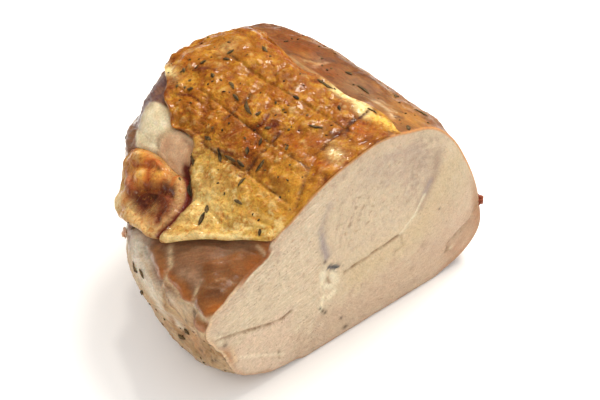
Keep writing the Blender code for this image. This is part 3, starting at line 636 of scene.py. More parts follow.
fibreForm = {  # which way the fibres run
    "ringMiddle": (30.0, 50.0), "ringRadius": 30.0,  # round the cut's eye muscle
    "leftEdge": (14.0, 0.15, 55.0), "leftLean": 14.0,  # straight beyond a slanted edge
    "flank": ((12.0, 160.0), (0.83, 0.55)), "belly": ((30.0, 176.0), (0.93, -0.36)),  # middle, direction
    "flankFrom": 146.0, "bellyFrom": 174.5,  # bearings
}


def cutFibre(x, z):
    # the grain of the cut as (along, across): round the eye muscle, and straight in the left group
    (middleX, middleZ), radius = fibreForm["ringMiddle"], fibreForm["ringRadius"]
    ringX, ringZ = x - middleX, z - middleZ
    edge, slope, height = fibreForm["leftEdge"]
    left = -x - edge + slope * (z - height) > 0.0
    lean = math.radians(fibreForm["leftLean"])
    cos, sin = math.cos(lean), math.sin(lean)
    straight = np.stack([x * cos + z * sin, z * cos - x * sin], -1)
    arcs = np.stack([np.arctan2(ringZ, ringX) * radius, np.hypot(ringX, ringZ)], -1)
    return np.where(left[:, None], straight, arcs)


def turnedChart(flat, middle, along):
    away = flat - np.array(middle)
    return np.stack([away @ np.array(along), away @ np.array((-along[1], along[0]))], -1)


def skinFibre(flat):
    # the grain of the skin as (along, across): along the log on top, slanting on the flank and the belly
    flank = turnedChart(flat, *fibreForm["flank"])
    belly = turnedChart(flat, *fibreForm["belly"])
    bearing = flat[:, 1:]
    lower = np.where(bearing < fibreForm["bellyFrom"], flank, belly)
    return np.where(bearing < fibreForm["flankFrom"], flat, lower)


def streaked(grain, length, width, seed):
    return uneven(np.stack([grain[:, 0] / length, grain[:, 1] / width, grain[:, 0] * 0.0], -1), 1.0, seed)


def ragged(bearing):
    # the torn rim between the flank and the cut
    length, depth = meat["notch"]
    along = np.stack([bearing / length, bearing * 0.0, bearing * 0.0], -1)
    notches = uneven(along, 1.0, 4.4) + 0.8 * uneven(along, 2.7, 9.1)
    return notches * depth * smooth(bearing, 138.0, 148.0) * (1.0 - smooth(bearing, 200.0, 215.0))


def makeMeat():
    mesh, ring, bearing = sphereGrid("meat", meat["segments"], meat["rings"])
    bearing = crowded(bearing, meat["crowded"])
    cutShare = meat["cutRings"]
    onCut = ring <= cutShare
    points = np.zeros((len(ring), 3))
    turned = bearing % 360.0
    notch = ragged(turned)
    # the cut
    share = ring / cutShare
    rim = onLog(np.zeros(len(ring)), bearing)
    rim = rim + facing(np.zeros(len(ring)), bearing) * notch[:, None]
    x = rim[:, 0] * share
    z = logForm["axisHeight"] + (rim[:, 2] - logForm["axisHeight"]) * share
    fade = 1.0 - smooth(share, 0.9, 1.0)
    flatCut = np.stack([x, z], -1)[onCut]
    deepCut = np.stack([x, z * 0.0, z], -1)[onCut]
    strands = streaked(cutFibre(x, z)[onCut], 5.0, 1.1, 12.0) * smooth(-flatCut[:, 0], 8.0, 16.0)
    relief = cutRelief(flatCut) + uneven(deepCut, 5.0, 9.0) * 0.2 + strands * 0.12
    relief += uneven(deepCut, 1.9, 19.0) * 0.12
    y = -relief * fade[onCut] + meat["rimRound"] * smooth(share[onCut], 0.985, 1.0)
    points[onCut] = np.stack([x[onCut], y, z[onCut]], -1)
    # the skin
    skin = ~onCut
    runs = (ring[skin] - cutShare) / (meat["rings"] - cutShare)
    station = np.zeros(len(ring))
    station[skin] = np.sin(math.pi / 2 * runs)
    base = onLog(station[skin], bearing[skin])
    flat = chart(station[skin], turned[skin])
    fade = smooth(station[skin], 0.0, 0.06) * (1.0 - smooth(station[skin], 0.985, 1.0))
    lift = np.sum([uneven(base, size) * height for size, height in (meat["lump"], meat["wrinkle"])], axis=0)
    furrow = np.min([lineDistance(base, placesOnLog(line)) for line in meat["furrows"]], axis=0)
    leftSide = (turned[skin] > 140.0) & (turned[skin] < 205.0)
    lift -= np.where(leftSide, groove(furrow, meat["furrowWidth"], meat["furrowDepth"]), 0.0)
    for centre, reach, height in meat["mounds"]:
        lift += groove(np.linalg.norm(base - placesOnLog([centre]), axis=1), 2.0 * reach, height)
    strands = streaked(skinFibre(flat), 9.0, 1.4, 3.0)
    tearSmooth = smooth(coveredBy(flat, (tear["pinkPatch"], tear["whiteFat"])), -1.0, 1.5)
    muscleSmooth = smooth(coveredBy(flat, flankMuscles), 0.0, 3.0)
    lift += strands * meat["fibre"] * (1.0 - tearSmooth) * (1.0 - 0.8 * muscleSmooth)
    lift += (0.8 + 0.25 * uneven(base, 3.0, 33.0)) * muscleSmooth
    lift += (0.5 + 0.5 * uneven(base, 3.6, 35.0)) * tearSmooth
    underside = smooth(turned[skin], 178.0, 190.0) * (1.0 - smooth(turned[skin], 330.0, 350.0))
    rest = (1.0 - muscleSmooth) * (1.0 - tearSmooth)
    lift += uneven(base, 2.6, 4.0) * meat["knots"] * (0.35 + 0.65 * underside) * rest
    covered = smooth(coveredBy(flat, (fatCap["outline"], tongue["outline"])), -1.0, 1.0)
    lift = lift * (1.0 - covered) - meat["underSheet"] * covered
    lift = np.where(base[:, 2] <= 0.0, 0.0, lift * fade)
    lift += np.where(base[:, 2] <= 0.5, 0.0, notch[skin] * (1.0 - smooth(station[skin], 0.0, 0.05)))
    moved = base + facing(station[skin], bearing[skin]) * lift[:, None]
    moved[:, 2] = np.where(base[:, 2] <= 0.0, 0.0, np.maximum(0.0, moved[:, 2]))
    points[skin] = moved
    setPoints(mesh, points)
    paintMeat(mesh, points, onCut, station, turned, share)
    return finishPiece(mesh, meatFinish())


def paintSkin(paint, points, skin, station, turned):
    flat = chart(station, turned)
    grain = skinFibre(flat)
    big, mid, fine = uneven(points, 14.0, 20.0), uneven(points, 5.0, 21.0), uneven(points, 2.0, 22.0)
    strand, thread = streaked(grain, 10.0, 1.8, 24.0), streaked(grain, 6.0, 0.8, 25.0)
    paint.allowed = skin.astype(float)
    paint.dab(smooth(big + 0.8 * mid + 0.3 * strand, 0.0, 0.7) * 0.6, "skinDark")
    paint.dab(smooth(-big + 0.7 * mid + 0.5 * fine, 0.2, 0.8) * 0.55, "skinPale")
    paint.dab(smooth(fine + 0.5 * thread, 0.35, 0.6) * 0.35, "skinDark")
    rough = smooth(turned, 20.0, 34.0) * (1.0 - smooth(turned, 70.0, 80.0))
    paint.dab(rough * smooth(fine - 0.5 * mid, 0.15, 0.4) * 0.5, "skinDark")
    paint.dab(rough * smooth(0.6 * mid - fine, 0.1, 0.4) * 0.4, "orange")
    # the flank and the belly
    under = 1.0 - smooth(turned, 300.0, 335.0)
    paint.dab(under * smooth(turned, 140.0, 146.0), "film")
    paint.dab(under * smooth(turned, 146.0, 150.0) * smooth(strand + 0.5 * mid, 0.1, 0.6) * 0.3, "filmPale")
    hidden = 5.0 * smooth(station, 0.45, 0.7)  # a softer, more uneven border on the far side
    border = turned - 0.06 * (flat[:, 0] - 20.0) + hidden * (mid + strand)
    belly = under * smooth(border, 172.5 - hidden, 176.0 + hidden)
    paint.dab(belly, "belly")
    paint.dab(belly * smooth(0.5 * strand + mid, 0.0, 0.4) * 0.5, "bellyPink")
    paint.dab(belly * smooth(-0.6 * strand + 0.6 * fine + 0.5 * big, 0.2, 0.6) * 0.5, "bellyGrey")
    low = belly * smooth(turned, 180.0, 188.0)
    paint.dab(belly * smooth(turned, 175.0, 180.0) * 0.7, "bellyTan")
    paint.dab(low * 0.35, "bellyPink")
    paint.dab(low * smooth(mid + 0.6 * fine, 0.0, 0.4) * 0.7, "bellyBrown")
    paint.dab(low * smooth(fine - 0.4 * mid, 0.1, 0.4) * 0.4, "membrane")
    paint.dab(low * smooth(fine + 0.6 * thread, 0.4, 0.6) * 0.6, "speck")
    for outline in flankMuscles:
        depth = insideDepth(flat, charted(outline))
        paint.dab(smooth(depth, -0.4, 0.8), "flank")
        paint.dab(smooth(depth, 0.0, 1.5) * smooth(0.5 * strand + mid, 0.0, 0.5) * 0.45, "flankDark")
        paint.dab(smooth(depth, 0.5, 2.5) * smooth(-mid + 0.5 * fine, 0.1, 0.6) * 0.3, "flankOrange")
        paint.dab(smooth(depth, 0.0, 1.5) * smooth(np.abs(thread + 0.4 * mid), 0.05, 0.0) * 0.3, "filmPale")
    mottled = 0.6 + 0.8 * smooth(mid + strand, -0.5, 0.5)
    for patch in skinPatches:
        paint.dab(patchWeight(station, turned, patch) * mottled, patch[4])
    broken = 0.7 + 0.5 * smooth(fine, -0.3, 0.3)
    paint.draw(flat, onChart(membranes), broken)
    flankRim = smooth(turned, 158.0, 164.0) * (1.0 - smooth(turned, 196.0, 206.0))
    paint.dab(flankRim * (1.0 - smooth(station, 0.001, 0.006)) * broken, "rimPale")
    # the first outline, the dark grey-brown band along the far silhouette, is painted shade
    for name, reach in (("maroon", 1.5), ("whiteFat", 1.2), ("pinkPatch", 0.6)):
        depth = insideDepth(flat, charted(tear[name]))
        paint.dab(smooth(depth, -reach, reach), name)
        if name == "maroon":
            paint.dab(smooth(depth, 0.0, 2.0) * smooth(mid + fine, 0.1, 0.7) * 0.4, "skinPale")
    paint.dab(smooth(depth, 0.2, 2.5) * smooth(mid + 0.7 * big, -0.3, 0.4) * 0.7, "pinkDeep")
    paint.dab(smooth(depth, 0.2, 2.0) * smooth(fine - 0.5 * mid, 0.2, 0.5) * 0.4, "pinkPale")
    white = smooth(insideDepth(flat, charted(tear["whiteFat"])), 0.0, 2.0) * (1.0 - smooth(depth, -0.6, 0.6))
    paint.dab(white * smooth(mid + 0.5 * fine, -0.1, 0.4) * 0.6, "fatShade")
    paint.dab(white * smooth(-mid + 0.7 * fine, 0.0, 0.5) * 0.7, "fatWhite")
    paint.draw(flat, onChart(tearStrokes))
    paint.draw(flat, [(charted(speck), 0.9, "speck", 0.9) for speck in skinSpecks])


def paintCut(paint, points, onCut, share):
    x, z = points[:, 0], points[:, 2]
    place = np.stack([x, z], -1)
    paint.allowed = onCut.astype(float)
    big, mid, fine = uneven(points, 13.0, 40.0), uneven(points, 4.0, 41.0), uneven(points, 1.6, 42.0)
    grain = cutFibre(x, z)
    strand, thread = streaked(grain, 9.0, 1.6, 43.0), streaked(grain, 4.0, 0.9, 44.0)
    bearing = np.degrees(np.arctan2(z - 40.0, x))
    eye = smooth(insideDepth(place, meat["eyeMuscle"]), 0.0, 5.0)
    left = smooth(-x, 14.0, 20.0)
    paint.dab(1.0, "cut")
    paint.dab(left * (0.4 + 0.6 * smooth(strand, -0.2, 0.4)) * 0.7, "cutPale")
    paint.dab(eye * smooth(0.8 * x + z + 10.0 * mid, 60.0, 105.0) * 0.8, "cutGrey")
    paint.dab(eye * smooth(strand + 0.6 * big, 0.0, 0.5) * 0.35, "cutGrey")
    warmBand = near(place, ((2, 27), (12, 28.5), (24, 28), (36, 33), (44, 42), (49, 56)), 8.0)
    paint.dab(warmBand * 0.8, "cutWarm")
    paint.dab(smooth(22.0 - z + 0.12 * x + 6.0 * mid, -4.0, 8.0) * 0.75, "cutPink")
    paint.dab(smooth(share + 0.05 * mid, 0.84, 0.97) * smooth(bearing, 40.0, 60.0) * 0.5, "cutPink")
    paint.dab(smooth(-big + 0.8 * mid + 0.4 * fine, 0.3, 0.9) * 0.3, "cutGrey")
    lowGroup = smooth(0.17 * x + 38.6 - z, 0.0, 2.0) * smooth(-x, 26.0, 36.0)
    paint.dab(lowGroup * 0.8, "cutRosy")
    straight = (0.25 + 0.75 * left) * (1.0 - 0.7 * lowGroup)
    paint.dab(straight * smooth(thread + 0.3 * strand, 0.25, 0.6) * 0.3, "seam")
    paint.dab(straight * smooth(-thread + 0.3 * fine, 0.25, 0.6) * 0.4, "seamPale")
    paint.dab(smooth(mid + 0.9 * fine, 0.35, 0.8) * 0.16, "seam")
    paint.dab(near(place, ((50, 36), (57, 50)), 9.0) * 0.5, "cutShade")
    paint.dab(smooth(fine - 0.6 * mid, 0.3, 0.7) * 0.35, "cutPale")
    paint.dab(smooth(x, 30.0, 52.0) * smooth(50.0 - z, 0.0, 20.0) * 0.5, "cutPink")
    seams = [seam for seam, _, _ in meat["cutSeams"]]
    broken = 0.5 + 0.6 * smooth(mid + 0.6 * fine, -0.4, 0.3)
    paint.dab(near(place, seams[4], 1.8) * (0.35 + 0.5 * smooth(70.0 - z, 5.0, 20.0)), "smear")
    for index, reach, strength in ((0, 0.7, 0.85), (2, 0.6, 0.5), (3, 0.65, 0.95), (5, 0.9, 0.8)):
        paint.dab(near(place, seams[index], reach) * strength * broken, "seam")
    smear = near(place, ((42.3, 66), (41.6, 55.5), (39.1, 51), (35, 44)), 2.8)
    paint.dab(smear * 0.75 * (1.0 + 0.4 * mid), "smearBrown")
    paint.dab(near(place, ((39.5, 54), (36.5, 47.5)), 1.4) * 0.6, "smear")
    # painted shade: a broad grey-brown patch left of the smear, broken up by the grain
    shadeLeftOfSmear = near(place, ((36, 74), (34, 64), (30, 56)), 7.0)
    paint.dab(shadeLeftOfSmear * smooth(fine + strand, -0.4, 0.5) * 0.5, "smearBrown")
    for line in (((-4, 52), (-1, 60), (2, 66)), ((1, 51), (4, 59), (6, 64)), ((6, 50), (9, 57), (10, 61))):
        paint.dab(near(place, line, 1.0) * smooth(fine - 0.3 * mid, -0.1, 0.3) * 0.6, "seam")
    paint.dab(near(place, seams[1], 0.75) * 0.9, "seamPale")
    paint.draw(place, cutMarks["rimSeam"])
    paint.draw(place + 0.5 * np.stack([mid, fine], -1), cutMarks["flecks"])
    paint.dab(near(place, ((-12.6, 34.5), (-11.6, 31.6)), 0.7) * 0.6, "seam")
    # painted shade inside the holes round the pocket
    holes = near(place, ((-12.8, 40.6), (-9.9, 38.1), (-6.6, 36.0)), 1.5)
    paint.dab(holes * smooth(fine + 0.5 * mid, -0.25, 0.15), "holeShade")
    paint.draw(place, cutMarks["specks"])
    leftCorner = near(place, ((-66, 44), (-67, 38), (-62, 30), (-59, 23)), 3.6)
    paint.dab(leftCorner * smooth(fine + mid, -0.3, 0.4) * 0.6, "cutPink")
    paint.draw(place, cutMarks["leftCorner"])
    # the browned rim: a thin line on top, wide at the lower right, pale and ragged on the left
    topRim = smooth(bearing, -10.0, 10.0) * (1.0 - smooth(bearing, 138.0, 148.0))
    paint.dab(smooth(share, 0.98, 0.994) * topRim * 0.9, "rim")
    lowRight = smooth(bearing, -44.0, -30.0) * (1.0 - smooth(bearing, -8.0, 8.0))
    paint.dab(smooth(share + 0.01 * mid, 0.91, 0.98) * lowRight * 0.7, "rimBrown")
    paint.dab(smooth(share + 0.02 * mid, 0.95, 1.0) * smooth(-bearing, 30.0, 50.0) * 0.5, "rimBrown")
    leftRim = smooth(np.abs(bearing), 155.0, 162.0)
    paint.dab(smooth(share + 0.004 * fine, 0.984, 0.994) * leftRim * 0.8, "rimPale")
    muscleRim = smooth(bearing, 146.0, 151.0) * (1.0 - smooth(bearing, 160.0, 166.0))
    paint.dab(smooth(share + 0.008 * mid, 0.968, 0.984) * muscleRim * 0.9, "flankOrange")
    paint.dab(smooth(share, 0.97, 0.985) * muscleRim * 0.4, "redBrown")
    paint.dab(groove(share + 0.004 * fine - 0.965, 0.02, 0.7) * muscleRim, "seamPale")


def paintMeat(mesh, points, onCut, station, turned, share):
    paint = Paint(len(points), meatColours["skin"], meatColours)
    paintSkin(paint, points, ~onCut, station, turned)
    paintCut(paint, points, onCut, share)
    setColours(mesh, paint)
    cutWeight = onCut.astype(float)
    flankWet = smooth(turned, 140.0, 150.0) * (1.0 - smooth(turned, 173.0, 180.0))
    wet = np.where(onCut, 0.12, 0.3 + 0.5 * flankWet)
    torn = smooth(coveredBy(chart(station, turned), (tear["pinkPatch"], tear["whiteFat"])), -0.5, 1.5)
    left = smooth(-points[:, 0], 12.0, 18.0)  # straight grain in the cut's left muscles, hardly any elsewhere
    inMuscle = smooth(coveredBy(chart(station, turned), flankMuscles), -0.5, 1.5)
    fibre = np.where(onCut, 0.4 + 0.4 * left, 0.55 * (1.0 - torn) * (1.0 - 0.45 * inMuscle))
    setVectors(mesh, "looks", cutWeight, np.maximum(wet, 0.6 * torn), fibre)
    cutGrain = cutFibre(points[:, 0], points[:, 2]) / np.array((2.2, 0.55))
    skinGrain = skinFibre(chart(station, turned)) / np.array((5.0, 0.9))
    both = np.where(onCut[:, None], cutGrain, skinGrain)
    setVectors(mesh, "grain", both[:, 0], both[:, 1], cutWeight * 9.0)


def meatFinish():
    f = Finish("roastedMeat", {
        "Subsurface Weight": 0.25, "Subsurface Scale": 0.0015,
        "Coat Roughness": 0.12, "Specular IOR Level": 0.2,
    })
    cut, wet, fibre = f.parts("looks")
    streaks = f.add("TexNoise", {}, {
        "Vector": f.attribute("grain", "Vector"), "Scale": 1.0, "Detail": 4.0, "Distortion": 0.4,
    })
    mottle, fine = f.grain(3.0), f.grain(0.7)
    pores = f.step(f.grain(0.9, detail=1.0), 0.66, 0.74)
    # the skin varies more than the cut
    swing = f.add("Mix", {"data_type": "FLOAT"}, {0: cut, 2: 0.26, 3: 0.13})
    colour = f.bright(f.attribute("paint"), 1.0 + (0.08 + 0.3 * fibre) * (mottle - 0.5))
    colour = f.bright(colour, 1.0 + swing * fibre * f.step(streaks, 0.3, 0.7, -1.0, 1.0))
    colour = f.bright(colour, 1.0 + (0.12 - 0.03 * cut) * f.step(fine, 0.3, 0.7, -1.0, 1.0))
    colour = f.mix(pores * cut * (0.15 + 0.4 * fibre), colour, (120, 92, 70))
    f.link("Base Color", colour)
    f.link("Roughness", 0.6 - 0.28 * wet + 0.2 * (mottle - 0.5))
    f.link("Coat Weight", f.step(mottle, 0.45, 0.6) * wet)
    height = streaks * 0.6 * fibre + fine * 0.25 + mottle * 0.3 - pores * cut * 0.4
    f.link("Normal", f.bump(height, 0.5, 0.8))
    return f


# The sheets of fat
netLines = (  # where the net pressed into the fat
    ((0.02, 126), (0.09, 102), (0.11, 81), (0.14, 66)),
    ((0.25, 132), (0.24, 112), (0.24, 96), (0.27, 70)),
    ((0.46, 132), (0.43, 108), (0.43, 82), (0.45, 68)),
    ((0.45, 132), (0.29, 129), (0.175, 128), (0.03, 127)),
    ((0.60, 112), (0.43, 111), (0.19, 110), (0.01, 107)),
    ((0.62, 87), (0.43, 87), (0.29, 84), (0.02, 80)),
)

fatCap = {
    "segments": 480, "outerRings": 130, "edgeRings": 4, "innerRings": 14,
    "middle": (0.30, 112),
    "outline": (
        (-0.05, 67), (0.03, 62), (0.08, 59.5), (0.16, 60), (0.23, 65), (0.34, 65), (0.40, 69),
        (0.49, 67), (0.62, 62), (0.68, 58), (0.78, 62), (0.87, 76), (0.89, 96), (0.86, 111),
        (0.79, 117), (0.73, 121), (0.70, 128), (0.65, 131.5), (0.61, 137), (0.57, 135), (0.51, 134),
        (0.48, 137), (0.468, 142), (0.470, 147), (0.443, 149), (0.416, 151.5), (0.381, 154),
        (0.363, 157), (0.362, 160), (0.359, 163), (0.350, 165.4), (0.324, 165), (0.27, 162),
        (0.197, 158), (0.135, 155), (0.076, 150), (0.007, 145), (-0.05, 140), (-0.06, 120), (-0.06, 95),
    ),
    "thick": 2.3, "thickAtCut": 0.8, "lift": 1.0, "lump": 1.4, "liftedFrom": (100, 128), "crumple": 1.0,
    "folds": [(line, 1.5, -0.6) for line in netLines],  # places along each fold, width, height
}

tongue = {
    "segments": 260, "outerRings": 120, "edgeRings": 4, "innerRings": 14,
    "middle": (0.56, 163),
    "outline": (
        (0.462, 149.9), (0.44, 150.4), (0.416, 152), (0.385, 154.5), (0.364, 157.5), (0.358, 161),
        (0.362, 165.1), (0.405, 167.2), (0.467, 168.5), (0.537, 171), (0.613, 174), (0.66, 176.5),
        (0.715, 178), (0.76, 175), (0.78, 170), (0.79, 164), (0.765, 160.5), (0.728, 158),
        (0.686, 156), (0.62, 154), (0.55, 153.2), (0.50, 152),
    ),
    "thick": 2.4, "thickAtCut": 2.4, "lift": 1.0, "lump": 1.2, "liftedFrom": (163, 167.5), "crumple": 0.5,
    "folds": (
        (((0.70, 160.9), (0.68, 160.9)), 8.0, 2.0),  # three browned knobs
        (((0.643, 162.8), (0.62, 162.1)), 8.0, 1.8),
        (((0.548, 159.6), (0.543, 158.7)), 7.0, 1.5),
        (((0.643, 159.0), (0.614, 157.2), (0.58, 156.2)), 4.0, 1.3),
        (((0.74, 167.4), (0.69, 168.4), (0.638, 168.0)), 4.5, 1.5),  # ridges round the knobs
        (((0.674, 173.4), (0.705, 174.8)), 8.0, 1.7),
        (((0.454, 158.8), (0.41, 159.1), (0.394, 160.2)), 4.0, 0.9),
        (((0.458, 151.8), (0.421, 155.2), (0.382, 157.6), (0.37, 160.7), (0.374, 163.6)), 5.5, 1.1),
        (((0.60, 167.4), (0.595, 165.1), (0.563, 162.2), (0.52, 160.1), (0.484, 158.8), (0.45, 158.0)),
         4.0, -1.8),
        (((0.485, 162.4), (0.455, 161.0)), 13.0, -1.2),  # the hollow and its creases
        (((0.43, 162.7), (0.397, 163.7)), 3.5, -0.9),
        (((0.702, 163.8), (0.655, 161.2), (0.61, 159.5)), 2.8, -0.9),
        (((0.605, 160.5), (0.574, 161.9)), 2.8, -0.9),
    ),
}

sheetForm = {
    "sink": 1.8, "edgeReach": 5.0, "cutTaper": 16.0, "cutSetback": 0.3,
    "thinSide": (62.0, 95.0), "thinShare": 0.4,
}


def closedCurve(corners, angle):
    corners = np.array(corners, float)
    place = (angle % 360.0) / 360.0 * len(corners)
    index = np.floor(place).astype(int)
    near = [corners[(index + step) % len(corners)] for step in (-1, 0, 1, 2)]
    return catmull(*near, (place - index)[:, None])


def sheetThickness(sheet, station, bearing):
    y = onLog(station, bearing)[..., 1]
    atCut = sheet["thickAtCut"]
    thick = atCut + (sheet["thick"] - atCut) * smooth(y, 0.0, sheetForm["cutTaper"])
    thin = sheetForm["thinShare"]
    return thick * (thin + (1.0 - thin) * smooth(bearing, *sheetForm["thinSide"]))


def foldRelief(base, folds):
    heights = [groove(lineDistance(base, placesOnLog(line)), width, height) for line, width, height in folds]
    heights = np.vstack([np.zeros(len(base))] + heights)
    return heights.max(0) + heights.min(0)


crumpleForm = {  # sizes in mm of the fat's wrinkles and blisters, and how high each kind stands
    "warpSize": 5.0, "warp": 1.4, "ridgeSize": 6.5, "ridge": 0.45, "valleySize": 3.0, "valley": 0.34,
    "fineSize": 1.1, "fine": 0.16, "blisterSize": 3.4, "blister": 0.3, "blisterArea": 8.0,
    "crackWidth": 0.12, "crack": 0.18,
}


def crumpleRelief(base, amount):
    # crackled, blistered skin of roasted fat
    form = crumpleForm
    warp = np.stack([uneven(base, form["warpSize"], seed) for seed in (31.0, 37.0, 41.0)], -1) * form["warp"]
    bent = base + warp
    middle, border = cells(bent, form["blisterSize"], 2.0)
    ridges = creased(bent, form["ridgeSize"], 11.0) - 0.6
    valleys = creased(bent, form["valleySize"], 51.0) - 0.6
    where = smooth(uneven(base, form["blisterArea"], 13.0), -0.25, 0.35)
    fine = form["fine"] * uneven(base, form["fineSize"], 61.0)
    crumple = form["ridge"] * ridges - form["valley"] * valleys + fine
    cracks = form["crack"] * where * np.exp(-((border / form["crackWidth"]) ** 2))
    return amount * (crumple + (0.5 - middle) * form["blister"] * where - cracks)


def makeSheet(name, sheet, finish, painter):
    outer, edgeRings, inner = sheet["outerRings"], sheet["edgeRings"], sheet["innerRings"]
    rings = outer + 2 * edgeRings + inner
    mesh, ring, angle = sphereGrid(name, sheet["segments"], rings)
    edge = closedCurve(sheet["outline"], angle)
    middle = np.array(sheet["middle"], float)
    rim = onLog(edge[:, 0], edge[:, 1])
    span = np.linalg.norm(rim - placesOnLog([middle]), axis=1)
    rimThick = sheetThickness(sheet, edge[:, 0], edge[:, 1])
    nose = 0.5 * rimThick / span
    crease = lineDistance(rim, placesOnLog(bigCrease))
    lifted = smooth(edge[:, 1], *sheet["liftedFrom"]) * smooth(crease, 1.0, 5.0)
    noseHeight = lifted * (0.5 * rimThick + sheet["lift"]) - (1.0 - lifted) * 0.15 * rimThick
    # from the middle of the outer side, round the edge, and back to the middle of the inner side
    turn = np.clip((outer + edgeRings - ring) / edgeRings, -1.0, 1.0) * math.pi / 2
    inward = np.where(ring <= outer, ring / outer, (rings - ring) / inner)
    onEdge = (ring > outer) & (ring < outer + 2 * edgeRings)
    share = np.where(onEdge, 1.0 - nose + nose * np.cos(turn), (1.0 - nose) * np.clip(inward, 0.0, 1.0))
    height = noseHeight + 0.5 * rimThick * np.where(onEdge, np.sin(turn), np.sign(outer + edgeRings - ring))
    place = middle + (edge - middle) * share[:, None]
    station, bearing = place[:, 0], place[:, 1]
    base = onLog(station, bearing)
    fromEdge = (1.0 - share) * span
    isOuter = ring <= outer + edgeRings
    full = sheetThickness(sheet, station, bearing)
    over = height + (full - height) * smooth(fromEdge, 0.5 * rimThick, sheetForm["edgeReach"])
    relief = sheet["lump"] * (uneven(base, 9.0, 3.0) + 0.4 * uneven(base, 4.0, 7.0))
    relief += foldRelief(base, sheet["folds"])
    fineRelief = crumpleRelief(base, sheet["crumple"])
    over += relief * smooth(fromEdge, 0.0, 0.5 * sheetForm["edgeReach"])
    over += fineRelief * smooth(fromEdge, 0.0, 1.5)
    sunk = smooth(fromEdge, 0.3 * sheetForm["edgeReach"], sheetForm["edgeReach"])
    under = height - (sheetForm["sink"] + height) * sunk
    points = base + facing(station, bearing) * np.where(isOuter, over, under)[:, None]
    setVectors(mesh, "spot", station, bearing, fineRelief)
    mesh.vertices.foreach_set("co", points.astype(np.float32).ravel())
    trimAtCut(mesh)
    points = meshPoints(mesh)
    spot = vectorsOf(mesh.attributes["spot"].data, "vector")
    setPoints(mesh, points)
    painter(mesh, points, *spot.T)
    return finishPiece(mesh, finish)


def trimAtCut(mesh):
    bm = bmesh.new()
    bm.from_mesh(mesh)
    everything = list(bm.verts) + list(bm.edges) + list(bm.faces)
    cut = bmesh.ops.bisect_plane(
        bm, geom=everything, plane_co=(0, sheetForm["cutSetback"], 0), plane_no=(0, -1, 0), clear_outer=True
    )
    edges = [item for item in cut["geom_cut"] if isinstance(item, bmesh.types.BMEdge)]
    if edges:
        bmesh.ops.edgeloop_fill(bm, edges=edges)
        bmesh.ops.triangulate(bm, faces=[face for face in bm.faces if len(face.verts) > 4])
    bm.normal_update()
    bmesh.ops.recalc_face_normals(bm, faces=bm.faces)
    bm.to_mesh(mesh)
    bm.free()


capColours = {
    "gold": (160, 95, 19), "deep": (122, 58, 10), "light": (196, 140, 40), "straw": (212, 172, 86),
    "cream": (238, 212, 146), "yellow": (240, 190, 84), "red": (94, 30, 14), "brown": (84, 44, 20),
    "orange": (174, 92, 18), "amber": (202, 142, 44),
}

capPatches = (  # station, bearing, reach along and across in mm, colour, strength
    (0.27, 66, 6, 2.5, "cream", 0.6), (0.10, 64, 8, 4, "light", 0.95), (0.20, 148, 20, 16, "straw", 0.9),
    (0.33, 150, 14, 12, "straw", 0.9), (0.05, 143, 12, 9, "straw", 0.8), (0.40, 140, 8, 8, "straw", 0.8),
    (0.10, 135, 10, 6, "light", 0.7), (0.55, 85, 14, 12, "light", 0.2), (0.66, 84, 3, 5, "cream", 0.5),
    (0.70, 92, 10, 20, "light", 0.25), (0.77, 115, 6, 4, "cream", 0.8), (0.76, 103, 5, 3, "orange", 0.9),
    (0.64, 104, 5, 4, "deep", 0.7), (0.63, 92, 4, 5, "deep", 0.5), (0.36, 122, 4, 6, "deep", 0.6),
    (0.08, 78, 6, 6, "orange", 0.7), (0.06, 104, 7, 5, "orange", 0.6), (0.11, 88, 3, 3, "red", 0.6),
    # the small cream patch at station 0.05, bearing 95 is a painted highlight: a glare on the wet fat
    (0.28, 102, 1.6, 2.5, "red", 0.8), (0.32, 108, 1.2, 3.5, "red", 0.7), (0.05, 95, 3, 3, "cream", 0.8),
    (0.22, 90, 12, 8, "light", 0.3), (0.50, 120, 14, 9, "gold", 0.6), (0.45, 110, 12, 10, "orange", 0.25),
    (0.30, 128, 5, 4, "deep", 0.5), (0.12, 142, 3, 3, "orange", 0.4), (0.17, 130, 5, 3, "light", 0.6),
    (0.02, 130, 3, 6, "light", 0.6), (0.05, 120, 8, 10, "amber", 0.55), (0.10, 113, 6, 6, "light", 0.4),
    (0.16, 66, 5, 2.5, "cream", 0.9), (0.57, 98, 8, 9, "gold", 0.6), (0.60, 76, 10, 8, "gold", 0.5),
    (0.32, 140, 8, 4, "gold", 0.4), (0.09, 117, 8, 6, "amber", 0.7), (0.30, 76, 6, 4, "gold", 0.4),
    (0.48, 92, 5, 4, "amber", 0.5), (0.30, 116, 5, 5, "orange", 0.6), (0.17, 103, 4, 5, "orange", 0.6),
    (0.13, 96, 4, 3, "orange", 0.5), (0.38, 104, 4, 5, "amber", 0.4), (0.53, 108, 6, 6, "amber", 0.4),
    (0.66, 112, 3, 4, "amber", 0.6), (0.24, 122, 3, 3, "deep", 0.5), (0.12, 122, 3, 2, "deep", 0.5),
    (0.36, 90, 4, 3, "orange", 0.5),
)

capMarks = (  # dark red creases
    ((0.31, 108.5), (0.315, 103), (0.32, 100)), ((0.29, 104), (0.27, 101)),
    ((0.66, 122), (0.62, 118), (0.57, 117)), ((0.67, 106), (0.63, 101), (0.60, 99)),
    ((0.12, 88), (0.09, 84), (0.06, 84)), ((0.38, 129), (0.33, 126)),
)

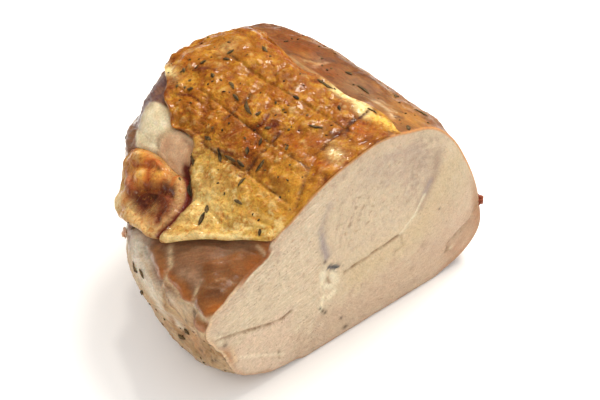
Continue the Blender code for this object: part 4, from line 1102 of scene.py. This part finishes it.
capStrokes = (  # places along each, reach in mm, colour, strength
    (((0.25, 66.8), (0.20, 64.8), (0.165, 63.8), (0.135, 67)), 2.9, "cream", 1.1),
    (((0.089, 65.4), (0.063, 64.1), (0.038, 63.2)), 2.6, "yellow", 1.0),
    (((0.135, 65), (0.126, 68.1), (0.116, 76.3), (0.095, 82.5)), 0.7, "brown", 0.95),
    (((0.62, 66), (0.53, 68), (0.45, 70), (0.36, 69)), 2.0, "orange", 0.5),
    # a painted highlight: a cream line just above the rounded lower edge of the cap
    (((0.35, 164.2), (0.324, 164.2), (0.27, 161.2), (0.197, 157.2), (0.135, 154.2), (0.076, 149.2)),
     0.9, "cream", 0.7),
)


def paintCap(mesh, points, station, bearing, relief):
    paint = Paint(len(points), capColours["gold"], capColours)
    big, mid, fine = uneven(points, 12.0, 70.0), uneven(points, 4.0, 71.0), uneven(points, 1.5, 72.0)
    paint.dab(smooth(mid + 0.5 * big + 0.3 * fine, 0.0, 0.5) * 0.75, "deep")
    paint.dab(smooth(-mid + 0.7 * fine, 0.1, 0.6) * 0.7, "light")
    mottled = 0.7 + 0.6 * smooth(fine + mid, -0.3, 0.5)
    for patch in capPatches:
        paint.dab(patchWeight(station, bearing, patch) * mottled, patch[4])
    pale = smooth(bearing, 127.0, 136.0) * (1.0 - smooth(station, 0.42, 0.47))
    paint.dab(pale * smooth(mid + 0.8 * fine, 0.1, 0.5) * 0.55, "amber")
    paint.dab(pale * smooth(-mid + 0.8 * fine, 0.1, 0.5) * 0.5, "cream")
    paint.dab(patchWeight(station, bearing, (0.33, 152, 10, 9, "cream", 0.4)), "cream")
    # painted shade in the hollows of the crackled skin, and a painted highlight on its crests
    paint.dab(smooth(-relief, 0.1, 0.45) * (0.55 - 0.3 * pale), "deep")
    paint.dab(smooth(relief, 0.15, 0.5) * 0.28, "cream")
    flat = chart(station, bearing)
    net = np.min([lineDistance(flat, charted(line)) for line in netLines], axis=0)
    paint.dab(np.exp(-((net / 0.6) ** 2)) * smooth(big + mid, -0.4, 0.4) * 0.8, "brown")
    paint.draw(flat, onChart(capStrokes), 0.8 + 0.5 * smooth(fine, -0.3, 0.3))
    paint.draw(flat, [(charted(mark), 0.8, "red", 0.8) for mark in capMarks])
    # browning and painted shade: the cap's edge along the deep crease, painted dark red
    paint.dab(near(flat, charted(fatCap["outline"][22:30]), 1.5) * 1.4, "red")
    setColours(mesh, paint)
    setVectors(mesh, "looks", relief, 0.55 + 0.6 * mid, 0.0)


tongueColours = {
    "base": (196, 146, 80), "straw": (222, 182, 118), "gold": (226, 164, 70), "cream": (236, 204, 142),
    "orange": (192, 98, 34), "amber": (168, 82, 26), "brown": (104, 50, 22), "purple": (74, 26, 16),
    "black": (34, 12, 10), "rust": (142, 72, 42), "pink": (204, 134, 96), "red": (108, 32, 14),
    "tan": (198, 152, 98), "olive": (140, 104, 60),
}

tongueStrokes = (  # places along each, reach in mm, colour, strength
    (((0.52, 167.3), (0.57, 168.1)), 2.5, "orange", 0.7),
    (((0.62, 166.0), (0.58, 164), (0.50, 162.8), (0.44, 161)), 5.2, "amber", 0.8),
    (((0.66, 165.5), (0.67, 170.5)), 3.0, "amber", 0.8),
    (((0.60, 166.5), (0.56, 164.5), (0.50, 162.5), (0.445, 160.5)), 3.8, "brown", 1.1),
    (((0.454, 162.4), (0.483, 163.1)), 1.8, "olive", 0.8),
    (((0.585, 166.6), (0.53, 165.4)), 2.6, "purple", 1.1),
    (((0.60, 167.4), (0.595, 165.1), (0.563, 162.2), (0.52, 160.1), (0.484, 158.8), (0.45, 158.0)),
     2.3, "purple", 1.3),
    (((0.45, 158.0), (0.43, 160.5), (0.40, 163.5)), 1.6, "purple", 0.8),
    # painted shade: the slot under the dark arch, near black
    (((0.54, 162.4), (0.505, 161.2)), 1.0, "black", 0.9),
    (((0.47, 159.4), (0.415, 158.6), (0.385, 160.0)), 2.6, "brown", 0.85),
    (((0.454, 158.8), (0.41, 159.1), (0.394, 160.2)), 1.2, "rust", 0.6),
    (((0.70, 160.9), (0.68, 160.9)), 4.6, "orange", 1.0),
    (((0.643, 162.7), (0.62, 162.1)), 3.8, "orange", 1.0),
    (((0.558, 158.6), (0.548, 158.0)), 3.2, "orange", 0.9),
    (((0.70, 160.9), (0.68, 160.9)), 3.2, "gold", 1.2),
    (((0.643, 162.7), (0.625, 162.1)), 2.5, "gold", 1.2),
    (((0.56, 158.4), (0.552, 157.8)), 2.1, "gold", 1.1),
    # painted highlights on the tops of the two upper knobs
    (((0.705, 160.2), (0.70, 160.4)), 1.3, "cream", 0.9),
    (((0.63, 162.0), (0.625, 161.9)), 1.1, "cream", 0.6),
    (((0.702, 163.8), (0.655, 161.2), (0.61, 159.5)), 0.9, "amber", 0.85),
    (((0.605, 160.5), (0.574, 161.9)), 0.9, "amber", 0.85),
    (((0.643, 159.4), (0.614, 157.4), (0.58, 156.2)), 1.5, "orange", 0.9),
    (((0.57, 157.2), (0.558, 156.9)), 1.0, "purple", 0.7),
    (((0.74, 167.4), (0.69, 168.4), (0.638, 167.8)), 1.7, "rust", 0.9),
    (((0.70, 167.4), (0.67, 167.6)), 0.8, "pink", 0.9),
    (((0.674, 173.4), (0.70, 174.5)), 3.0, "cream", 0.9),
    (((0.43, 162.7), (0.397, 163.7)), 0.9, "red", 0.85),
    (((0.458, 151.5), (0.421, 155.2), (0.382, 157.6), (0.37, 160.7), (0.374, 163.6)), 1.9, "tan", 0.85),
    (((0.476, 155.3), (0.49, 152.7)), 1.2, "orange", 0.8),
    (((0.60, 170.5), (0.517, 168.7), (0.438, 166.7), (0.369, 165.6)), 1.7, "straw", 0.9),
    (((0.78, 170), (0.79, 164), (0.765, 160.5)), 2.0, "rust", 0.6),
)


def paintTongue(mesh, points, station, bearing, relief):
    paint = Paint(len(points), tongueColours["base"], tongueColours)
    flat = chart(station, bearing)
    mid, fine = uneven(points, 3.5, 73.0), uneven(points, 1.3, 74.0)
    paint.dab(smooth(mid + 0.4 * fine, 0.1, 0.5) * 0.3, "orange")
    paint.dab(smooth(-mid + 0.4 * fine, 0.1, 0.5) * 0.4, "cream")
    paint.draw(flat, onChart(tongueStrokes), 0.9 + 0.3 * fine)
    # painted shade, rust coloured, in the hollows of the crackled skin
    paint.dab(smooth(-relief, 0.05, 0.25) * 0.4, "rust")
    # browning and painted shade: the tongue's edge along the deep crease, painted dark red
    paint.dab(near(flat, charted(tongue["outline"][:7]), 1.3) * 1.4, "red")
    setColours(mesh, paint)
    setVectors(mesh, "looks", relief, 0.6, 0.0)


def fatFinish(name):
    f = Finish(name, {
        "Subsurface Weight": 0.2, "Subsurface Scale": 0.0012,
        "Coat Roughness": 0.08, "Specular IOR Level": 0.15,
    })
    wet = f.parts("looks")[1]
    mottle, fine, glint = f.grain(2.0, detail=4.0, distortion=0.5), f.grain(0.6), f.grain(4.0, detail=2.0)
    colour = f.attribute("paint")
    colour = f.mix(f.step(mottle, 0.52, 0.66, 0.0, 0.65), colour, (207, 152, 72), "MULTIPLY")
    # small pale gold specks: painted highlights
    colour = f.mix(f.step(fine, 0.56, 0.7, 0.0, 0.3) * f.step(mottle, 0.5, 0.4), colour, (230, 186, 86))
    # a little lighter where the coat lies: a painted sheen; the rest of the swing is the fat's own mottling
    colour = f.bright(colour, f.step(fine, 0.3, 0.6, 0.86, 1.08) * f.step(glint, 0.35, 0.65, 0.9, 1.1))
    f.link("Base Color", colour)
    f.link("Roughness", f.step(mottle, 0.35, 0.65, 0.3, 0.55))
    f.link("Coat Weight", f.step(glint, 0.48, 0.58) * wet)
    f.link("Normal", f.bump(mottle * 0.7 + fine * 0.35, 0.8, 0.9))
    return f


# The rosemary
herbs = {
    "width": 1.5, "thick": 0.75, "sides": 8, "steps": 8, "sink": 0.1,
    "widths": (0.8, 1.15), "bend": 0.09, "endWidth": 0.35, "midrib": 0.22, "midribWidth": 0.25,
    "needles": (  # station, bearing, turn from the log's direction, length
        (0.400, 104.3, 156, 8.4), (0.168, 90.6, 37, 5.6), (0.300, 68.9, 9, 8.5), (0.132, 62.6, 24, 4.4),
        (0.333, 51.6, 22, 3.2), (0.246, 53.3, 12, 6.3), (0.191, 42.5, 138, 3.0), (0.094, 39.8, 32, 5.7),
        (0.018, 56.3, 149, 3.6), (0.215, 121.7, 92, 5.7), (0.232, 133.3, 100, 4.6), (0.197, 141, 9, 4.7),
        (0.288, 151.9, 147, 3.9), (0.276, 155.3, 115, 5.5), (0.414, 151.9, 154, 7.7), (0.448, 128.5, 12, 3.9),
        (0.327, 128.3, 10, 6.8), (0.465, 141, 148, 7.4), (0.463, 103.5, 176, 3.6), (0.504, 100.2, 167, 4.4),
        (0.552, 73.3, 162, 6.0), (0.627, 85, 100, 3.9), (0.708, 109.4, 146, 2.4), (0.385, 175.5, 165, 4.8),
        (0.448, 177.2, 1, 6.7), (0.398, 182.8, 71, 3.3), (0.275, 198.3, 167, 3.4), (0.231, 193.8, 138, 3.2),
        (0.057, 144.9, 135, 3.0), (0.280, 127, 176, 4.5), (0.372, 131, 150, 6.6), (0.180, 75.6, 150, 3.3),
        (0.351, 103, 80, 2.4), (0.184, 107.2, 138, 2.2),
        (0.667, 99.6, 70, 2.8), (0.61, 90.3, 30, 3.0), (0.276, 112.7, 120, 3.2), (0.587, 102.7, 150, 2.6),
        (0.627, 115.1, 40, 2.8), (0.285, 105.5, 60, 2.6), (0.291, 120.0, 130, 3.4), (0.308, 84.2, 20, 2.8),
        (0.545, 171.6, 80, 3.4),
    ),
    "spare": 40, "spareStations": (0.05, 0.9), "spareBearings": (-60.0, 205.0), "spareLengths": (3.0, 6.5),
    "seed": 5,
}


def frameOn(station, bearing, turn):
    outward = facing(np.array([station]), np.array([bearing]))[0]
    here, ahead = placesOnLog([(station, bearing), (station + 0.01, bearing)])
    along = ahead - here
    along = along - outward * (along @ outward)
    along = Vector(along).normalized()
    sideways = Vector(outward).cross(along)
    basis = Matrix((along, sideways, Vector(outward))).transposed().to_4x4()
    return Matrix.Translation(here) @ basis @ Matrix.Rotation(math.radians(turn), 4, "Z")


def dropOn(ground, place, outward):
    # where the line through a place, straight into the log, meets the surface
    startHeight, depth = 12.0, 20.0
    hit = ground.ray_cast(place + outward * startHeight, -outward, depth)[0]
    return place if hit is None else hit


def needlePlaces():
    draw = random.Random(herbs["seed"])
    places = list(herbs["needles"])
    while len(places) < len(herbs["needles"]) + herbs["spare"]:
        place = (draw.uniform(*herbs["spareStations"]), draw.uniform(*herbs["spareBearings"]),
                 draw.uniform(0.0, 180.0), draw.uniform(*herbs["spareLengths"]))
        shown = 40.0 < place[1] < 200.0 and place[0] < 0.8
        if not shown and placesOnLog([place[:2]])[0][2] > 8.0:
            places.append(place)
    return places


def makeHerbs(ground):
    draw = random.Random(herbs["seed"] + 1)
    bm = bmesh.new()
    shades, midlines = [], []
    for station, bearing, turn, length in needlePlaces():
        made = bmesh.ops.create_uvsphere(bm, u_segments=herbs["sides"], v_segments=herbs["steps"], radius=1.0)
        made = made["verts"]
        bmesh.ops.rotate(bm, matrix=Matrix.Rotation(math.pi / 2, 3, "Y"), verts=made)
        frameHere = frameOn(station, bearing, turn)
        bend = draw.uniform(-herbs["bend"], herbs["bend"])
        width = herbs["width"] * draw.uniform(*herbs["widths"])
        outward = frameHere.to_3x3().col[2]
        shade = draw.uniform(0.0, 1.0)
        for vertex in made:
            ahead, aside, up = vertex.co
            taper = herbs["endWidth"] + 0.65 * math.sqrt(max(0.0, 1.0 - ahead * ahead))
            x = 0.5 * length * ahead
            y = 0.5 * width * aside * taper + bend * x * x
            local = frameHere @ Vector((x, y, 0.0))
            base = dropOn(ground, local, outward)
            midrib = herbs["midrib"] * math.exp(-((aside / herbs["midribWidth"]) ** 2)) if up > 0.0 else 0.0
            rise = herbs["thick"] * (0.5 * up * taper + 0.5 - midrib * 0.8) - herbs["sink"]
            midlines.append(math.exp(-((aside / 0.3) ** 2)) if up > 0.0 and abs(ahead) < 0.8 else 0.0)
            vertex.co = base + outward * rise
        shades.extend([shade] * len(made))
    mesh = meshFrom(bm, "herbs")
    setVectors(mesh, "looks", shades, midlines, 0.0)
    setPoints(mesh, meshPoints(mesh))
    return finishPiece(mesh, herbFinish())


def herbFinish():
    f = Finish("driedRosemary", {"Specular IOR Level": 0.12})
    shade, midline, _ = f.parts("looks")
    colour = f.mix(shade, (52, 38, 20), (96, 76, 46))
    colour = f.mix(midline * f.step(shade, 0.4, 0.7, 0.2, 0.8), colour, (146, 120, 84))
    colour = f.bright(colour, f.step(f.grain(0.8), 0.35, 0.65, 0.6, 1.25))
    f.link("Base Color", colour)
    f.link("Roughness", f.step(f.grain(0.5), 0.3, 0.7, 0.4, 0.7))
    f.link("Normal", f.bump(f.grain(0.4), 0.2, 0.6))
    return f


# The crumbs: flecks of herb and pepper
crumbs = {
    "spread": (  # how many, and between which stations and bearings
        (85, (0.02, 0.80), (64.0, 144.0)), (26, (0.02, 0.5), (184.0, 208.0)), (34, (0.02, 0.6), (38.0, 58.0)),
    ),
    "size": (0.3, 0.9), "seed": 8,
}


def makeCrumbs(ground):
    draw = random.Random(crumbs["seed"])
    bm = bmesh.new()
    shades = []
    for stations, bearings in [area[1:] for area in crumbs["spread"] for _ in range(area[0])]:
        station, bearing = draw.uniform(*stations), draw.uniform(*bearings)
        if station > 0.46 and bearing > 125.0:
            bearing -= 35.0
        size = draw.uniform(*crumbs["size"])
        made = bmesh.ops.create_icosphere(bm, subdivisions=2, radius=0.5 * size)["verts"]
        frameHere = frameOn(station, bearing, draw.uniform(0.0, 180.0))
        outward = frameHere.to_3x3().col[2]
        start = frameHere.translation
        place = frameHere.copy()
        place.translation = dropOn(ground, start, outward) + outward * 0.1 * size
        stretch = draw.uniform(1.0, 2.2)
        for vertex in made:
            vertex.co *= 1.0 + 0.5 * noise.noise(vertex.co * (2.0 / size) + start)
            vertex.co.x *= stretch
            vertex.co.z *= 0.7
            vertex.co = place @ vertex.co
        shades.extend([draw.uniform(0.0, 1.0)] * len(made))
    mesh = meshFrom(bm, "crumbs")
    setVectors(mesh, "looks", shades, 0.0, 0.0)
    setPoints(mesh, meshPoints(mesh))
    return finishPiece(mesh, herbFinish())


# The scraps
scraps = (  # each one's place on the log, size in mm and colour
    {"name": "rimScrap", "at": (0.02, -11.0), "size": (5.0, 4.4, 4.0), "colour": (150, 74, 48)},
    {"name": "lipScrap", "at": (0.627, 178.3), "size": (4.4, 3.6, 2.0), "colour": (236, 196, 168)},
)


def makeScrap(scrap):
    bm = bmesh.new()
    bmesh.ops.create_icosphere(bm, subdivisions=5, radius=0.5)
    shift = Vector(placesOnLog([scrap["at"]])[0])
    for vertex in bm.verts:
        crag = noise.noise(vertex.co * 7.0 + shift) * 0.12
        vertex.co *= 1.0 + noise.noise(vertex.co * 3.0 + shift) * 0.5 + crag
    bmesh.ops.scale(bm, vec=scrap["size"], verts=bm.verts)
    matrix = frameOn(*scrap["at"], 0.0) @ Matrix.Translation((0, 0, 0.2 * scrap["size"][2]))
    bmesh.ops.transform(bm, matrix=matrix, verts=bm.verts)
    mesh = meshFrom(bm, scrap["name"])
    points = meshPoints(mesh)
    setColours(mesh, Paint(len(points), scrap["colour"]))
    setVectors(mesh, "looks", 0.0, 0.6, 0.0)
    setPoints(mesh, points)
    return finishPiece(mesh, fatFinish(scrap["name"] + "Finish"))


# The studio
studio = {
    "aim": (17.155, 50.0, 24.779), "azimuth": -41.0, "elevation": 40.0, "distance": 750.0, "lens": 111.9,
    "world": 0.8, "floor": (250, 248, 246), "floorDark": (247, 245, 243),
    "lights": (  # place in mm from the aim, size in mm, watts, colour
        ((380, 60, 620), 420, 6.4, (255, 250, 240)),
        ((-500, -420, 520), 500, 1.6, (255, 252, 248)),
        ((150, 260, 700), 70, 1.0, (255, 250, 240)),  # a small lamp for the glints on the wet fat
    ),
}


def backDirection(azimuth, elevation):
    a, e = math.radians(azimuth), math.radians(elevation)
    return Vector((math.sin(a) * math.cos(e), -math.cos(a) * math.cos(e), math.sin(e)))


def pointAt(thing, target):
    thing.rotation_euler = (target - thing.location).to_track_quat("-Z", "Y").to_euler()


def makeStudio():
    scene = bpy.context.scene
    aim = Vector(placeInRow(np.array(studio["aim"])))
    camera = bpy.data.objects.new("camera", bpy.data.cameras.new("camera"))
    camera.data.lens, camera.data.sensor_width = studio["lens"], 36.0
    camera.data.clip_start = 0.01
    camera.location = aim + backDirection(studio["azimuth"], studio["elevation"]) * studio["distance"] * metre
    pointAt(camera, aim)
    scene.collection.objects.link(camera)
    scene.camera = camera
    for index, (place, size, watts, colour) in enumerate(studio["lights"]):
        lamp = bpy.data.lights.new(f"softbox{index}", "AREA")
        lamp.shape, lamp.size, lamp.energy = "DISK", size * metre, watts
        lamp.color = linear(colour)
        light = bpy.data.objects.new(lamp.name, lamp)
        light.location = aim + Vector(place) * metre
        pointAt(light, aim)
        scene.collection.objects.link(light)
    world = bpy.data.worlds.new("paleRoom")
    world.use_nodes = True
    world.node_tree.nodes["Background"].inputs["Color"].default_value = (1.0, 1.0, 1.0, 1.0)
    world.node_tree.nodes["Background"].inputs["Strength"].default_value = studio["world"]
    world.cycles_visibility.glossy = False  # only the lamps glint on the wet fat
    scene.world = world
    scene.view_settings.view_transform = "Standard"
    bm = bmesh.new()
    bmesh.ops.create_grid(bm, x_segments=1, y_segments=1, size=6.0)
    mesh = meshFrom(bm, "floor")
    f = Finish("paleFloor", {"Roughness": 0.9, "Specular IOR Level": 0.1})
    f.link("Base Color", f.mix(f.grain(40.0), studio["floor"], studio["floorDark"]))
    mesh.materials.append(f.material)
    floor = bpy.data.objects.new("floor", mesh)
    scene.collection.objects.link(floor)
    print("studio ready")


def groundOf(pieces):
    # one surface to lay the herbs on, back in mm
    points, faces = [], []
    for piece in pieces:
        start = len(points)
        local = meshPoints(piece.data) / metre + np.array(rowOrigin)
        points.extend(Vector(p) for p in local.tolist())
        faces.extend([start + corner for corner in face.vertices] for face in piece.data.polygons)
    return BVHTree.FromPolygons(points, faces)


makeStudio()
body = makeMeat()
cap = makeSheet("fatCap", fatCap, fatFinish("roastedFat"), paintCap)
curl = makeSheet("tongue", tongue, fatFinish("curledFat"), paintTongue)
for scrap in scraps:
    makeScrap(scrap)
ground = groundOf([body, cap, curl])
makeHerbs(ground)
makeCrumbs(ground)
